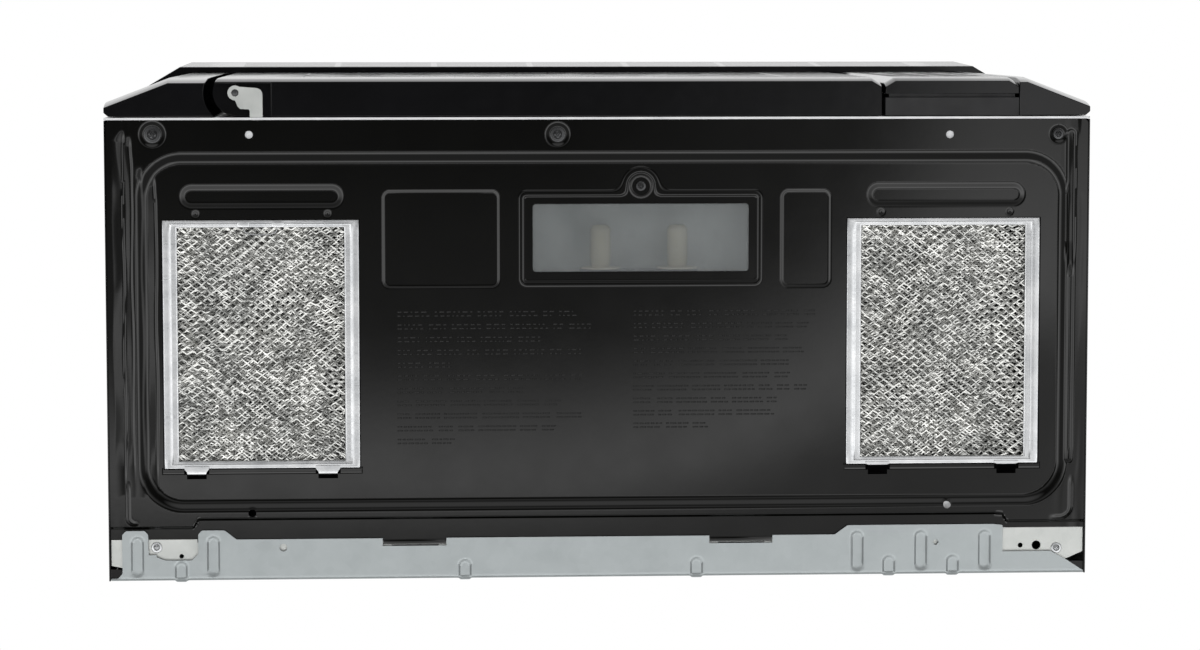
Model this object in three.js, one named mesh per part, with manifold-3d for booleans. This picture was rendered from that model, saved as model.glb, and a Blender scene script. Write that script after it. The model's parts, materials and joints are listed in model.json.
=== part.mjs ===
import * as THREE from "three";
import { mergeVertices } from "three/addons/utils/BufferGeometryUtils.js";
import Module from "manifold-3d";

// An over the range microwave oven. Sizes are in millimetres. X runs to the right of someone who faces
// the door, Y runs to the wall and Z runs up. The origin lies under the middle of the case, on the plane
// of the pan's rim. Places along Y are given as a distance behind the front frame's face.

const wasm = await Module();
wasm.setup();

// Case
const caseWidth = 759;
const caseHeight = 417;
const chassisDepth = 358;
const fasciaDepth = 30;
const grilleProud = 4.7;
const grilleLean = 3.3;
const caseSheet = 1.2;
const frameSheet = 1.8;
const sheet = 1;
const gap = 0.3;

const sideX = caseWidth / 2;
const grilleReach = grilleProud + grilleLean;
const rearY = (chassisDepth + fasciaDepth + grilleReach) / 2;
const frameY = rearY - chassisDepth;
const frontY = frameY - fasciaDepth;
const bayX = sideX - caseSheet - gap;
const bayY = frameY + frameSheet + gap;
const roofZ = caseHeight - caseSheet;
const behind = (distance) => frameY + distance;
const ahead = (distance) => rearY - distance;
const fromLeft = (distance) => distance - bayX;
const fromRight = (distance) => bayX - distance;
const around = (middle, half) => [middle - half, middle + half];

// Rear panel and rail
const gussetDepth = 1.2;
const beadDepth = 1.2;
const beadWidth = 9.4;
const beadSlope = 0.8;
const flangeFront = ahead(33);
const tabFront = ahead(40.2);
const railFront = ahead(30.5);
const railRear = ahead(6);
const railZ = sheet + beadDepth + gap;
const panelY = rearY - gussetDepth;
const longBeadX = [fromLeft(20.4), fromLeft(78.7), fromRight(178), fromRight(128), fromRight(78)];
const longBeadY = [ahead(35.5), ahead(4.5)];
const shortBeadX = [fromLeft(54), -105.4, 74.6, fromRight(153), fromRight(103)];
const shortBeadY = [ahead(15.2), ahead(3.5)];
const hookPitch = 253.4;
const hookMiddleX = -17.65;
const hangNotchHalf = 24.65;
const hangSlotHalf = 15;
const hangNotchRear = ahead(27);
const hangSlotHeight = 8;
const hangX = around(hookMiddleX, hookPitch / 2);
const flangeHoles = [
  { x: fromLeft(132.5), y: ahead(26.4), radius: 3 },
  { x: fromRight(116.4), y: ahead(26.5), radius: 2.4 },
];
const flangeScrews = [
  { name: "flange_screw_left", x: fromLeft(35), y: ahead(27) },
  { name: "flange_screw_right", x: fromRight(21), y: ahead(20.7) },
];
const gussetHeight = 16;
const ribHeight = 18;
const ribMargin = 138;
const ribZ = [110, 240];

// Base pan
const fieldX = [fromLeft(28.9), fromRight(20.5)];
const fieldFront = 33.4;
const fieldRear = ahead(61.5);
const fieldRadius = 28;
const fieldRise = 4;
const fieldSlope = 5.5;
const joggleFront = ahead(49.2);
const fieldTop = fieldRise + sheet;

// Grease filters
const filterX = [fieldX[0] + 87.9, fieldX[1] - 90.9];
const filterWidth = 151;
const filterLength = 192;
const filterThickness = 8;
const filterFront = 78.5;
const filterBorder = 11.5;
const filterSheet = 0.8;
const filterSlide = 3;
const filterFit = 0.4;
const filterTabWidth = 15.5;
const filterTabX = 50.5;
const filterTabReach = 12;
const filterLip = 2.4;
const filterLipHalf = 42;
const netColumns = 6;
const netRows = 10;
const netStrand = 2;

// Lamp under the pan
const lampWidth = 190;
const lampRightGap = 64.9;
const lampX = filterX[1] - filterWidth / 2 - lampRightGap - lampWidth / 2;
const lampFront = 55.8;
const lampLength = 76;
const lampRadius = 7;
const lensWidth = 167;
const lensLength = 52.3;
const lensFront = 66.9;
const lensMargin = 3;
const lensThickness = 2.5;
const bossRadius = 15;
const bossSetback = 2.6;
const lampCoverSheet = 1;
const lampCoverZ = fieldRise - gap - lampCoverSheet;
const lampHousingHeight = 52;
const bulbSpacing = 60;
const bulbRadius = 8;
const bulbLength = 27;
const bulbBaseRadius = 5.5;
const bulbBaseLength = 10;
const bulbZ = 28;
const socketDepth = 8;

// Oven cavity
const cavityFloor = 86;
const cavityRadius = 6;
const cavityRange = [fromLeft(120), fromRight(196)];
const cavityX = (cavityRange[0] + cavityRange[1]) / 2;
const cavityRearY = ahead(35.9);
const trayY = (bayY + cavityRearY) / 2;

// Turntable
const trayRadius = 150;
const trayThickness = 4;
const trayRim = 12;
const trackRadius = 98;
const rollerRadius = 7;
const rollerWidth = 8;
const rollerBore = 2.4;
const rollerPin = 2;
const ringWidth = 7;
const ringThickness = 3;
const shaftRadius = 3;
const motorRadius = 25;
const motorHeight = 20;

// Door and its hinges
const pinX = 99.9 - sideX;
const pinSetback = 18.9;
const pinRadius = 3;
const pinLength = 10;
const bracketSheet = 3;
const bracketZ = 1.5;
const bracketRight = 20.9;
const bracketTop = 3.7;
const bracketEye = 5.7;
const stemLeft = 11.2;
const legHeight = 34;
const grilleHeight = 75;
const grilleSeam = 3.5;
const grilleZ = caseHeight - grilleHeight;
const doorRight = sideX - 162.2;
const doorBottom = 1;
const doorTop = grilleZ - grilleSeam;
const doorSwing = 17.5;
const doorBack = 0.8;
const doorWall = 3;
const doorRail = 11;
const bevelWidth = 7;
const bevelDepth = 4.2;
const pocketDepth = 5.5;
const pocketRight = 27.4;
const pocketFront = 7.5;
const windowX = [pinX + 49.6, doorRight - 67.3];
const windowZ = [70, doorTop - 63.5];
const glassLap = 6;
const glassThickness = 3.2;
const glassSetback = 0.3;
const screenLap = 14;

// Door latch
const hookX = doorRight - 14.3;
const hookWidth = 4;
const hookHeight = 10;
const hookReach = 20;
const hookBarb = 4;
const hookLift = 5;
const hookLowZ = 130;
const hookHighZ = doorTop - 58.5;
const slotSide = 0.4;

// Fascia beside and above the door
const endCapCorner = sideX - 48.3;
const endCapSetback = 11.4;
const leftCapArc = 24;
const capInset = 1.5;
const capHollow = 30.4 - pinX;
const panelLeft = doorRight + 3;
const panelRight = sideX - 55.5;
const panelShell = 12.5;
const panelWall = 2.5;
const panelGroove = 3;
const collarReach = 7.5;
const grilleHalf = sideX - 81.5;
const grilleCorner = sideX - 41.5;
const grilleSetback = 13.4;
const grilleWall = 3;
const louvreHeight = 2.6;
const louvreColumns = 7;
const louvreRows = 4;

// Controls
const buttonX = [panelLeft + 11.7, panelRight - 12];
const buttonZ = [14, 46];
const buttonDepth = 11;
const buttonWallDepth = 7;
const buttonWall = 3;
const buttonBoss = [7, 2];
const leverPivotZ = 62;
const leverArm = 34;
const leverPinRadius = 2.5;
const leverEar = { sheet: 3, gap: 1, half: 5 };
const leverSetback = 20.4;
const leverX = around((buttonX[0] + buttonX[1]) / 2, 10);
const keypadX = buttonX;
const displayX = [buttonX[0] + 4, buttonX[1] - 4];
const displayZ = [doorTop - 58.5, doorTop - 26.5];
const keypadZ = [62, displayZ[0] - 18];
const inlay = 0.9;

// Equipment bay
const shelfZ = 80;
const waveguideY = [behind(144), behind(234)];
const waveguideZ = [150, 215];
const waveguideReach = 26;
const fanY = ahead(76);
const fanX = fromRight(98);
const fanZ = 185;
const fanRadius = 55;
const fanTip = 5;
const blowerY = ahead(76);
const blowerClearance = 8.5;
const blowerLength = 304;
const blowerWidth = 84;
const blowerHeight = 80;
const wheelRadius = 34;
const wheelLength = 88;
const wheelVanes = 10;
const blowerInlet = 26;
const blowerMotorRadius = 28;
const blowerMotorLength = 84;
const blowerShaft = 4;
const outletX = around(cavityX, 132);
const outletY = around(blowerY, 34);
const cordHoleX = fromRight(78);
const cordHoleY = ahead(54);
const cordHole = 12;
const cordBore = 9;
const cordCollar = 15;

// Bolt holes in the top, for the two bolts that come down through the cupboard
const boltX = sideX - 119.5;
const boltY = frameY + 104;
const boltHole = 3.6;

const cavityTop = roofZ - blowerClearance - blowerHeight - gap - sheet;

const quarterTurn = Math.PI / 2;
const fullTurn = 2 * Math.PI;

// Outlines and solids

function distinct(points) {
  return points.filter((point, i) => point.distanceTo(points.at(i - 1)) > 0.002);
}

function arc(x, y, radius, from, to, steps) {
  return Array.from({ length: steps + 1 }, (_, i) => {
    const angle = from + ((to - from) * i) / steps;
    return new THREE.Vector2(x + radius * Math.cos(angle), y + radius * Math.sin(angle));
  });
}

function circle(x, y, radius, sides = 16) {
  return arc(x, y, radius, 0, fullTurn, sides).slice(0, -1);
}

function rounded(x, y, radius, steps = 4) {
  return distinct([
    ...arc(x[1] - radius, y[1] - radius, radius, 0, quarterTurn, steps),
    ...arc(x[0] + radius, y[1] - radius, radius, quarterTurn, 2 * quarterTurn, steps),
    ...arc(x[0] + radius, y[0] + radius, radius, 2 * quarterTurn, 3 * quarterTurn, steps),
    ...arc(x[1] - radius, y[0] + radius, radius, 3 * quarterTurn, 4 * quarterTurn, steps),
  ]);
}

function corners(...pairs) {
  return pairs.map(([x, y]) => new THREE.Vector2(x, y));
}

function grown(range, by) {
  return [range[0] - by, range[1] + by];
}

function solid(geometry) {
  geometry.deleteAttribute("normal");
  geometry.deleteAttribute("uv");
  const merged = mergeVertices(geometry, 1e-4);
  const found = merged.index.array;
  const kept = [];
  for (let i = 0; i < found.length; i += 3) {
    const [a, b, c] = found.slice(i, i + 3);
    if (a !== b && b !== c && c !== a) kept.push(a, b, c);
  }
  const vertProperties = merged.attributes.position.array;
  const triVerts = new Uint32Array(kept);
  return new wasm.Manifold(new wasm.Mesh({ numProp: 3, vertProperties, triVerts }));
}

function box(x, y, z) {
  const geometry = new THREE.BoxGeometry(x[1] - x[0], y[1] - y[0], z[1] - z[0]);
  geometry.translate((x[0] + x[1]) / 2, (y[0] + y[1]) / 2, (z[0] + z[1]) / 2);
  return solid(geometry);
}

// An outline drawn in one of the three planes and extruded along the third axis.
function prism(plane, outline, from, to, holes = []) {
  const shape = new THREE.Shape(outline);
  shape.holes = holes.map((hole) => new THREE.Path(hole));
  const geometry = new THREE.ExtrudeGeometry(shape, { depth: to - from, bevelEnabled: false });
  const x = new THREE.Vector3(1, 0, 0);
  const y = new THREE.Vector3(0, 1, 0);
  const z = new THREE.Vector3(0, 0, 1);
  const turn = new THREE.Matrix4();
  if (plane === "xz") turn.makeBasis(x, z, y.clone().negate());
  if (plane === "yz") turn.makeBasis(y, z, x);
  geometry.translate(0, 0, plane === "xz" ? -to : from);
  return solid(geometry.applyMatrix4(turn));
}

// A profile of [radius, distance along the axis] pairs, turned about an axis through the local origin.
function turned(axis, profile, sides = 24) {
  const points = profile.map(([radius, along]) => new THREE.Vector2(radius, along));
  const geometry = new THREE.LatheGeometry(points, sides);
  if (axis === "z") geometry.rotateX(quarterTurn);
  if (axis === "x") geometry.rotateZ(-quarterTurn);
  return solid(geometry);
}

function rod(axis, radius, from, to, sides = 16) {
  return turned(axis, [[0, from], [radius, from], [radius, to], [0, to]], sides);
}

function ring(axis, inner, outer, from, to, sides = 24) {
  return turned(axis, [[inner, from], [outer, from], [outer, to], [inner, to], [inner, from]], sides);
}

function moved(body, x, y, z) {
  const geometry = surface(body);
  geometry.translate(x, y, z);
  return solid(geometry);
}

function turnedAboutZ(body, angle) {
  const geometry = surface(body);
  geometry.rotateZ(angle);
  return solid(geometry);
}

// A solid between two outlines of as many points, one above the other.
function loft(low, lowZ, high, highZ) {
  const count = low.length;
  const places = [...low.flatMap((p) => [p.x, p.y, lowZ]), ...high.flatMap((p) => [p.x, p.y, highZ])];
  const index = [];
  for (const [a, b, c] of THREE.ShapeUtils.triangulateShape(low, [])) {
    index.push(a, c, b);
    index.push(a + count, b + count, c + count);
  }
  for (let a = 0; a < count; a += 1) {
    const b = (a + 1) % count;
    index.push(a, b, b + count);
    index.push(a, b + count, a + count);
  }
  const geometry = new THREE.BufferGeometry();
  geometry.setAttribute("position", new THREE.Float32BufferAttribute(places, 3));
  geometry.setIndex(index);
  return solid(geometry);
}

// A dent pressed upwards into a sheet whose underside is at baseZ. outline(offset) gives the dent's top,
// grown by the offset.
function pressed(body, outline, baseZ, depth, slope) {
  const rate = slope / depth;
  const midZ = baseZ + sheet / 2;
  const lowZ = baseZ - sheet;
  const skin = loft(outline(slope - rate * sheet / 2 + sheet), midZ, outline(sheet), baseZ + depth + sheet);
  const hollow = loft(outline(slope + rate * sheet), lowZ, outline(0), baseZ + depth);
  return body.add(skin).subtract(hollow);
}

function slotOutline(x, y) {
  const radius = Math.min(x[1] - x[0], y[1] - y[0]) / 2;
  return (by) => rounded(grown(x, by), grown(y, by), radius + by, 2);
}

// Finishes
const blackEnamel = { color: 0x141414, roughness: 0.2, metalness: 0.1 };
const zincSheet = { color: 0xaeb4b8, roughness: 0.45, metalness: 0.8 };
const zincLayer = { color: 0xc9ccce, roughness: 0.4, metalness: 0.8 };
const brightFrame = { color: 0xd6d8da, roughness: 0.4, metalness: 0.6 };
const aluminium = { color: 0xd9dadb, roughness: 0.3, metalness: 1 };
const blackPlastic = { color: 0x101011, roughness: 0.15, metalness: 0 };
const mattBlack = { color: 0x1b1b1c, roughness: 0.6, metalness: 0 };
const frosted = { color: 0xb8bcbc, roughness: 0.6, metalness: 0 };
const lampGlass = { color: 0xf3ead8, roughness: 0.2, metalness: 0 };
const clearGlass = { color: 0xcfe0dc, roughness: 0.05, metalness: 0 };
const tintedGlass = { color: 0x0b0c0d, roughness: 0.04, metalness: 0 };
const cavityEnamel = { color: 0xbfc0be, roughness: 0.4, metalness: 0.1 };
const whitePlastic = { color: 0xe8e6e0, roughness: 0.5, metalness: 0 };
const laminations = { color: 0x6d6f72, roughness: 0.5, metalness: 0.7 };
const boardGreen = { color: 0x2c5a35, roughness: 0.5, metalness: 0 };
const screwZinc = { color: 0x8d9094, roughness: 0.35, metalness: 0.9 };

function surface(body) {
  const grid = body.getMesh();
  const geometry = new THREE.BufferGeometry();
  geometry.setAttribute("position", new THREE.BufferAttribute(grid.vertProperties, 3));
  geometry.setIndex(new THREE.BufferAttribute(grid.triVerts, 1));
  return geometry;
}

const group = new THREE.Group();

function piece(name, body, finish, x = 0, y = 0, z = 0) {
  const geometry = surface(body);
  geometry.computeVertexNormals();
  const mesh = new THREE.Mesh(geometry, new THREE.MeshStandardMaterial({ ...finish }));
  mesh.name = name;
  mesh.position.set(x, y, z);
  group.add(mesh);
  return mesh;
}

// Base pan: a pressed sheet with a drawn field, raised at the rear where the flange passes under it

const panScrews = [
  { name: "pan_screw_left", x: fromLeft(35.2), y: behind(12.8), washer: 7 },
  { name: "pan_screw_centre", x: -33, y: behind(13.4), washer: 6.2 },
  { name: "pan_screw_right", x: fromRight(22.8), y: behind(13.8), washer: 4.2 },
];
const panHoles = [
  { x: fromLeft(108.8), y: behind(13) },
  { x: fromRight(107.7), y: behind(13.9) },
  { x: fromLeft(108.8), y: ahead(53.2) },
  { x: fromRight(107.7), y: ahead(55.8) },
];
const panHoleRadius = 3;
const lampWasher = 4;
const flangeWasher = 4.4;
const screwShank = 2;
const screwLength = 8;
const screwHeadHeight = 1.6;
const screwSides = 10;
const crossWidth = 0.4;
const crossDepth = 0.7;
const seatDepth = 2.2;
const seatMargin = 1.4;
const seatSlope = 1.2;
const slotBeadY = [behind(52.9), behind(68)];
const slotBeadX = [[filterX[0] - 60.1, filterX[0] + 62.1], [filterX[1] - 58.2, filterX[1] + 61.8]];
const slotBead = { depth: 1.5, slope: 1.2 };
const dimpleX = [filterX[0] - 49.6, filterX[0] + 51.4, filterX[1] - 48.8, filterX[1] + 51.4];
const dimpleY = behind(73.8);
const dimple = { radius: 2.2, depth: 1, slope: 0.6 };
const lampSides = around(lampX, lampWidth / 2);
const filterHalf = filterWidth / 2;
const plainPressing = { radius: 5, depth: 1.2, slope: 1.4 };
const plainPressings = [
  { x: [filterX[0] + filterHalf + 18.9, lampSides[0] - 15.3], y: [behind(57.1), behind(130.3)] },
  { x: [lampSides[1] + 14.8, filterX[1] - filterHalf - 13.7], y: [behind(57.4), behind(130.7)] },
];
const sideBead = { depth: 1.2, slope: 1 };
const sideBeads = [
  { x: [fromLeft(5), fromLeft(11.5)], y: [behind(13), ahead(83)] },
  { x: [fromRight(11.8), fromRight(8.6)], y: [behind(11), behind(111)] },
  { x: [fromLeft(12.6), fromLeft(18.8)], y: [ahead(75.4), ahead(55)] },
  { x: [fromRight(22), fromRight(17)], y: [ahead(89), ahead(55)] },
];
const panRearStep = 0.3;
const panRearLeft = fromLeft(66.6);
const panRearRight = fromRight(63.6);
const railOverlap = 4;

function panOutlineRear() {
  const rearRight = flangeFront - railOverlap - panRearStep;
  const rear = railFront - panRearStep;
  const rearLeft = flangeFront - panRearStep;
  return corners([bayX, joggleFront], [bayX, rearRight], [panRearRight, rearRight], [panRearRight, rear],
    [panRearLeft, rear], [panRearLeft, rearLeft], [-bayX, rearLeft], [-bayX, joggleFront]);
}

function filterOpening(x) {
  const half = filterWidth / 2 + filterFit;
  const near = behind(filterFront - filterFit);
  const far = behind(filterFront + filterLength + filterSlide + filterFit);
  const tabHalf = filterTabWidth / 2 + filterFit;
  const tabFar = far + filterTabReach / 2 - filterSlide / 2;
  const reach = [fieldRise - sheet, fieldTop + sheet];
  let cut = box([x - half, x + half], [near, far], reach);
  for (const side of [-filterTabX, filterTabX]) {
    cut = cut.add(box([x + side - tabHalf, x + side + tabHalf], [far - sheet, tabFar], reach));
  }
  return cut;
}

function basePan() {
  let body = box([-bayX, bayX], [bayY, joggleFront], [0, sheet]);
  const joggle = [joggleFront - sheet / 2, joggleFront + sheet];
  body = body.add(box([-bayX, bayX], joggle, [0, railZ + sheet]));
  body = body.add(prism("xy", panOutlineRear(), railZ, railZ + sheet));
  const fieldY = [behind(fieldFront), fieldRear];
  const field = (by) => rounded(grown(fieldX, by), grown(fieldY, by), fieldRadius + by, 5);
  body = pressed(body, field, 0, fieldRise, fieldSlope);
  for (const x of slotBeadX) {
    body = pressed(body, slotOutline(x, slotBeadY), fieldRise, slotBead.depth, slotBead.slope);
  }
  for (const x of dimpleX) {
    const outline = (by) => circle(x, dimpleY, dimple.radius + by, 8);
    body = pressed(body, outline, fieldRise, dimple.depth, dimple.slope);
  }
  for (const { x, y } of plainPressings) {
    const outline = (by) => rounded(grown(x, by), grown(y, by), plainPressing.radius + by, 2);
    body = pressed(body, outline, fieldRise, plainPressing.depth, plainPressing.slope);
  }
  for (const { x, y } of sideBeads) {
    body = pressed(body, slotOutline(x, y), 0, sideBead.depth, sideBead.slope);
  }
  for (const x of filterX) body = body.subtract(filterOpening(x));
  const lensHalf = lensWidth / 2 + lensMargin + gap;
  const lensY = grown([behind(lensFront), behind(lensFront + lensLength)], lensMargin + gap);
  const through = [fieldRise - sheet, fieldTop + sheet];
  body = body.subtract(box([lampX - lensHalf, lampX + lensHalf], lensY, through));
  const lampScrewY = behind(lampFront - bossSetback);
  body = body.subtract(moved(rod("z", screwShank + gap, 0, 9, 12), lampX, lampScrewY, 0));
  for (const { x, y, washer } of panScrews) {
    const seat = (by) => circle(x, y, washer + seatMargin + by, screwSides);
    body = pressed(body, seat, 0, seatDepth, seatSlope);
    const shank = rod("z", screwShank + gap, -sheet, seatDepth + 2 * sheet, screwSides);
    body = body.subtract(moved(shank, x, y, 0));
  }
  for (const { x, y } of panHoles) {
    body = body.subtract(moved(rod("z", panHoleRadius, -sheet, 3 * sheet, 12), x, y, 0));
  }
  piece("base_pan", body, blackEnamel);
}

// A screw from below: head, washer and shank, its head's underside at z 0, with a cross recess
function screw(washer) {
  const head = turned("z", [
    [0, -screwHeadHeight],
    [washer * 0.45, -screwHeadHeight],
    [washer * 0.6, -screwHeadHeight / 2],
    [washer, -0.4],
    [washer, 0],
    [screwShank, 0],
    [screwShank, screwLength],
    [0, screwLength],
  ], screwSides);
  const arm = grown([0, 0], washer * 0.32);
  const blade = grown([0, 0], crossWidth);
  const depth = [-screwHeadHeight - 1, crossDepth - screwHeadHeight];
  return head.subtract(box(arm, blade, depth)).subtract(box(blade, arm, depth));
}

function screws() {
  for (const { name, x, y, washer } of panScrews) {
    piece(name, screw(washer), screwZinc, x, y, seatDepth - gap);
  }
  piece("lamp_screw", screw(lampWasher), screwZinc, lampX, behind(lampFront - bossSetback), lampCoverZ - gap);
  for (const { name, x, y } of flangeScrews) {
    piece(name, screw(flangeWasher), screwZinc, x, y, railZ - gap);
  }
}

// Rear panel: the upright sheet and its flange, which wraps under the pan and is stiffened by beads

function flangeOutline() {
  const front = flangeFront;
  const tab = tabFront;
  const tabCorner = tabFront + 3;
  const cornerY = ahead(3);
  const [leftNotch, rightNotch] = hangX.map((x) => around(x, hangNotchHalf));
  return corners(
    [bayX, panelY],
    [bayX, cornerY],
    [fromRight(13.1), ahead(11.5)],
    [fromRight(26), ahead(18.6)],
    [fromRight(63.8), ahead(18.6)],
    [fromRight(63.8), tab],
    [fromRight(186.5), tab],
    [fromRight(195.5), front],
    [rightNotch[1], front],
    [rightNotch[1], hangNotchRear],
    [rightNotch[0], hangNotchRear],
    [rightNotch[0], front],
    [leftNotch[1], front],
    [leftNotch[1], hangNotchRear],
    [leftNotch[0], hangNotchRear],
    [leftNotch[0], front],
    [fromLeft(96.5), front],
    [fromLeft(87.3), tab],
    [fromLeft(70), tab],
    [fromLeft(67.1), tabCorner],
    [fromLeft(67.1), ahead(22)],
    [fromLeft(62), ahead(17)],
    [fromLeft(42), ahead(17)],
    [fromLeft(33), ahead(20.5)],
    [fromLeft(28.7), ahead(25)],
    [fromLeft(28.7), tabCorner],
    [fromLeft(26), tab],
    [fromLeft(11.8), tab],
    [fromLeft(8.8), tabCorner],
    [fromLeft(8.8), ahead(7)],
    [fromLeft(5), cornerY],
    [-bayX, cornerY],
    [-bayX, panelY],
  );
}

function rearPanel() {
  let body = prism("xy", flangeOutline(), 0, sheet);
  body = body.add(box([-bayX, bayX], [panelY - sheet, panelY], [0, roofZ - gap]));
  const press = (x, y) => {
    const outline = slotOutline(around(x, beadWidth / 2 - 1), grown(y, -1));
    body = pressed(body, outline, 0, beadDepth, beadSlope);
  };
  const raise = (outline) => {
    body = body.add(prism("xz", outline, panelY - sheet / 2, rearY));
  };
  for (const x of longBeadX) press(x, longBeadY);
  for (const x of shortBeadX) {
    press(x, shortBeadY);
    raise(rounded(around(x, beadWidth / 2), [sheet / 2, gussetHeight], beadWidth / 2 - 0.2, 2));
  }
  for (const x of hangX) {
    const slotZ = [1.5 * sheet, sheet + hangSlotHeight];
    body = body.subtract(box(around(x, hangSlotHalf), [panelY - 2 * sheet, rearY + sheet], slotZ));
  }
  for (const { x, y, radius } of flangeHoles) {
    body = body.subtract(moved(rod("z", radius, -sheet, 3 * sheet, 12), x, y, 0));
  }
  for (const z of ribZ) {
    raise(rounded([fromLeft(ribMargin), fromRight(ribMargin)], around(z, ribHeight / 2), ribHeight / 2 - 0.1, 3));
  }
  piece("rear_panel", body, zincSheet);
}

const railHoles = [
  { x: fromLeft(54.1), y: ahead(20), radius: 1.8 },
  { x: fromRight(49.4), y: ahead(23), radius: 2 },
  { x: fromRight(36.8), y: ahead(23), radius: 3.6 },
];

function rearRail() {
  const front = flangeFront - railOverlap;
  let body = prism("xy", corners(
    [fromRight(14), railRear],
    [fromRight(14), ahead(12)],
    [bayX - gap, ahead(18)],
    [bayX - gap, front],
    [panRearRight + gap, front],
    [panRearRight + gap, railFront],
    [panRearLeft - gap, railFront],
    [panRearLeft - gap, flangeFront],
    [gap - bayX, flangeFront],
    [gap - bayX, ahead(13)],
    [fromLeft(10), ahead(11)],
    [fromLeft(10), railRear],
  ), railZ, railZ + sheet);
  for (const x of hangX) {
    const cut = [hangNotchRear - 0.7, hangNotchRear + 9];
    body = body.subtract(box([x - hangNotchHalf + 7, x + hangNotchHalf - 6], cut, [0, railZ + 3 * sheet]));
  }
  const screwHoles = flangeScrews.map(({ x, y }) => ({ x, y, radius: screwShank + gap }));
  for (const { x, y, radius } of [...screwHoles, ...railHoles]) {
    body = body.subtract(moved(rod("z", radius, 0, 9, 12), x, y, 0));
  }
  piece("rear_rail", body, zincLayer);
}

// Outer case: one sheet over the top and down both sides, with small returns at the rear corners

function outerCase() {
  const sideY = [bayY, panelY];
  let body = box([-sideX, sideX], sideY, [0, caseHeight]);
  body = body.subtract(box([-sideX + caseSheet, sideX - caseSheet], grown(sideY, 5), [-5, roofZ]));
  const cornerZ = [railZ, railZ + sheet];
  const returnY = [ahead(10), ahead(3)];
  body = body.add(box([-sideX + caseSheet / 2, fromLeft(9)], returnY, cornerZ));
  const right = corners([fromRight(12.8), ahead(10.4)], [sideX - caseSheet / 2, ahead(10.4)],
    [sideX - caseSheet / 2, returnY[1]], [fromRight(4), returnY[1]]);
  body = body.add(prism("xy", right, ...cornerZ));
  const through = [roofZ - caseSheet, caseHeight + caseSheet];
  body = body.subtract(prism("xy", rounded(outletX, outletY, 8), ...through));
  body = body.subtract(moved(rod("z", cordHole, ...through, 24), cordHoleX, cordHoleY, 0));
  for (const x of [-boltX, boltX]) {
    body = body.subtract(moved(rod("z", boltHole, ...through, 16), x, boltY, 0));
  }
  piece("outer_case", body, blackEnamel);
  const collarZ = caseHeight - 4.5;
  const neck = cordHole - gap;
  const grommet = turned("z", [
    [cordBore, collarZ], [cordCollar, collarZ], [cordCollar, roofZ - gap], [neck, roofZ - gap],
    [neck, caseHeight], [cordBore, caseHeight], [cordBore, collarZ],
  ], 16);
  piece("cord_grommet", grommet, mattBlack, cordHoleX, cordHoleY, 0);
}

// Front frame: the sheet that closes the chassis behind the door and controls

function hookSlots() {
  const x = grown([hookX, hookX], hookWidth / 2 + 3);
  return [hookLowZ, hookHighZ].map((z) => rounded(x, [z - hookBarb - 4, z + hookHeight + hookLift + 3], 2, 2));
}

function frontFrame() {
  const mouth = rounded(cavityRange, [cavityFloor, cavityTop], cavityRadius);
  const outline = rounded([-sideX, sideX], [0, caseHeight], 1, 1);
  const vent = rounded(around(0, grilleHalf - 58), [grilleZ + 8, caseHeight - 13], 6);
  const wires = rounded(around((buttonX[0] + buttonX[1]) / 2 - 2, 30), [displayZ[0] - 30, displayZ[0]], 5, 2);
  const holes = [mouth, vent, wires, ...hookSlots()];
  let body = prism("xz", outline, frameY, frameY + frameSheet, holes);
  const stemX = [pinX + stemLeft - gap, pinX + bracketRight + gap];
  const lowSlot = [bracketZ - gap, bracketZ + bracketSheet + gap];
  const highSlot = [doorTop - lowSlot[1] + doorBottom, doorTop - lowSlot[0] + doorBottom];
  for (const z of [lowSlot, highSlot]) {
    body = body.subtract(box(stemX, [frameY - 1, frameY + frameSheet + 1], z));
  }
  piece("front_frame", body, brightFrame);
}

// Hinge brackets: a plate in front of the frame that carries the pin, and a leg behind the frame

function hingeBracket() {
  const legY = frameY + frameSheet + gap - pinY;
  const plate = [
    ...arc(0, 0, bracketEye, quarterTurn, 3.6, 8),
    ...corners([2.5, -bracketTop - 1]),
    ...arc(bracketRight - 5, 5 - bracketTop, 5, -quarterTurn, 0, 4),
    ...corners([bracketRight, legY + sheet], [stemLeft, legY + sheet], [stemLeft, 13.7],
      [10.2, 12.6], [3.9, 12.3], [1.9, 10.3]),
  ];
  const eye = circle(0, 0, bracketEye, 16);
  let body = prism("xy", plate, bracketZ, bracketZ + bracketSheet);
  body = body.add(prism("xy", eye, bracketZ, bracketZ + bracketSheet));
  body = body.add(box([stemLeft, bracketRight - 2], [legY, legY + 2], [bracketZ, legHeight]));
  return body.add(rod("z", pinRadius, bracketZ - 0.4, bracketZ + bracketSheet + pinLength, 12));
}

function hinges() {
  const middle = (doorTop + doorBottom) / 2;
  piece("hinge_bracket_lower", hingeBracket(), zincLayer, pinX, pinY, 0);
  const geometry = surface(hingeBracket());
  geometry.scale(1, 1, -1);
  geometry.translate(0, 0, 2 * middle);
  const flipped = geometry.index.array;
  for (let i = 0; i < flipped.length; i += 3) {
    [flipped[i], flipped[i + 1]] = [flipped[i + 1], flipped[i]];
  }
  piece("hinge_bracket_upper", solid(geometry), zincLayer, pinX, pinY, 0);
}

// Door

const pinY = frameY - pinSetback;
const doorBackY = frameY - doorBack;

function doorOutline() {
  const frontAngle = Math.PI - Math.asin((frontY - pinY) / doorSwing);
  return [
    ...corners([doorRight, doorBackY], [pinX + 6, doorBackY]),
    ...arc(pinX, pinY, doorSwing, quarterTurn, frontAngle, 8),
    ...corners([doorRight - bevelWidth, frontY], [doorRight, frontY + bevelDepth]),
  ];
}

const hollowX = [pinX + 9.6, doorRight - 8];
const hollowZ = [doorBottom + doorRail, doorTop - doorRail];

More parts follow.
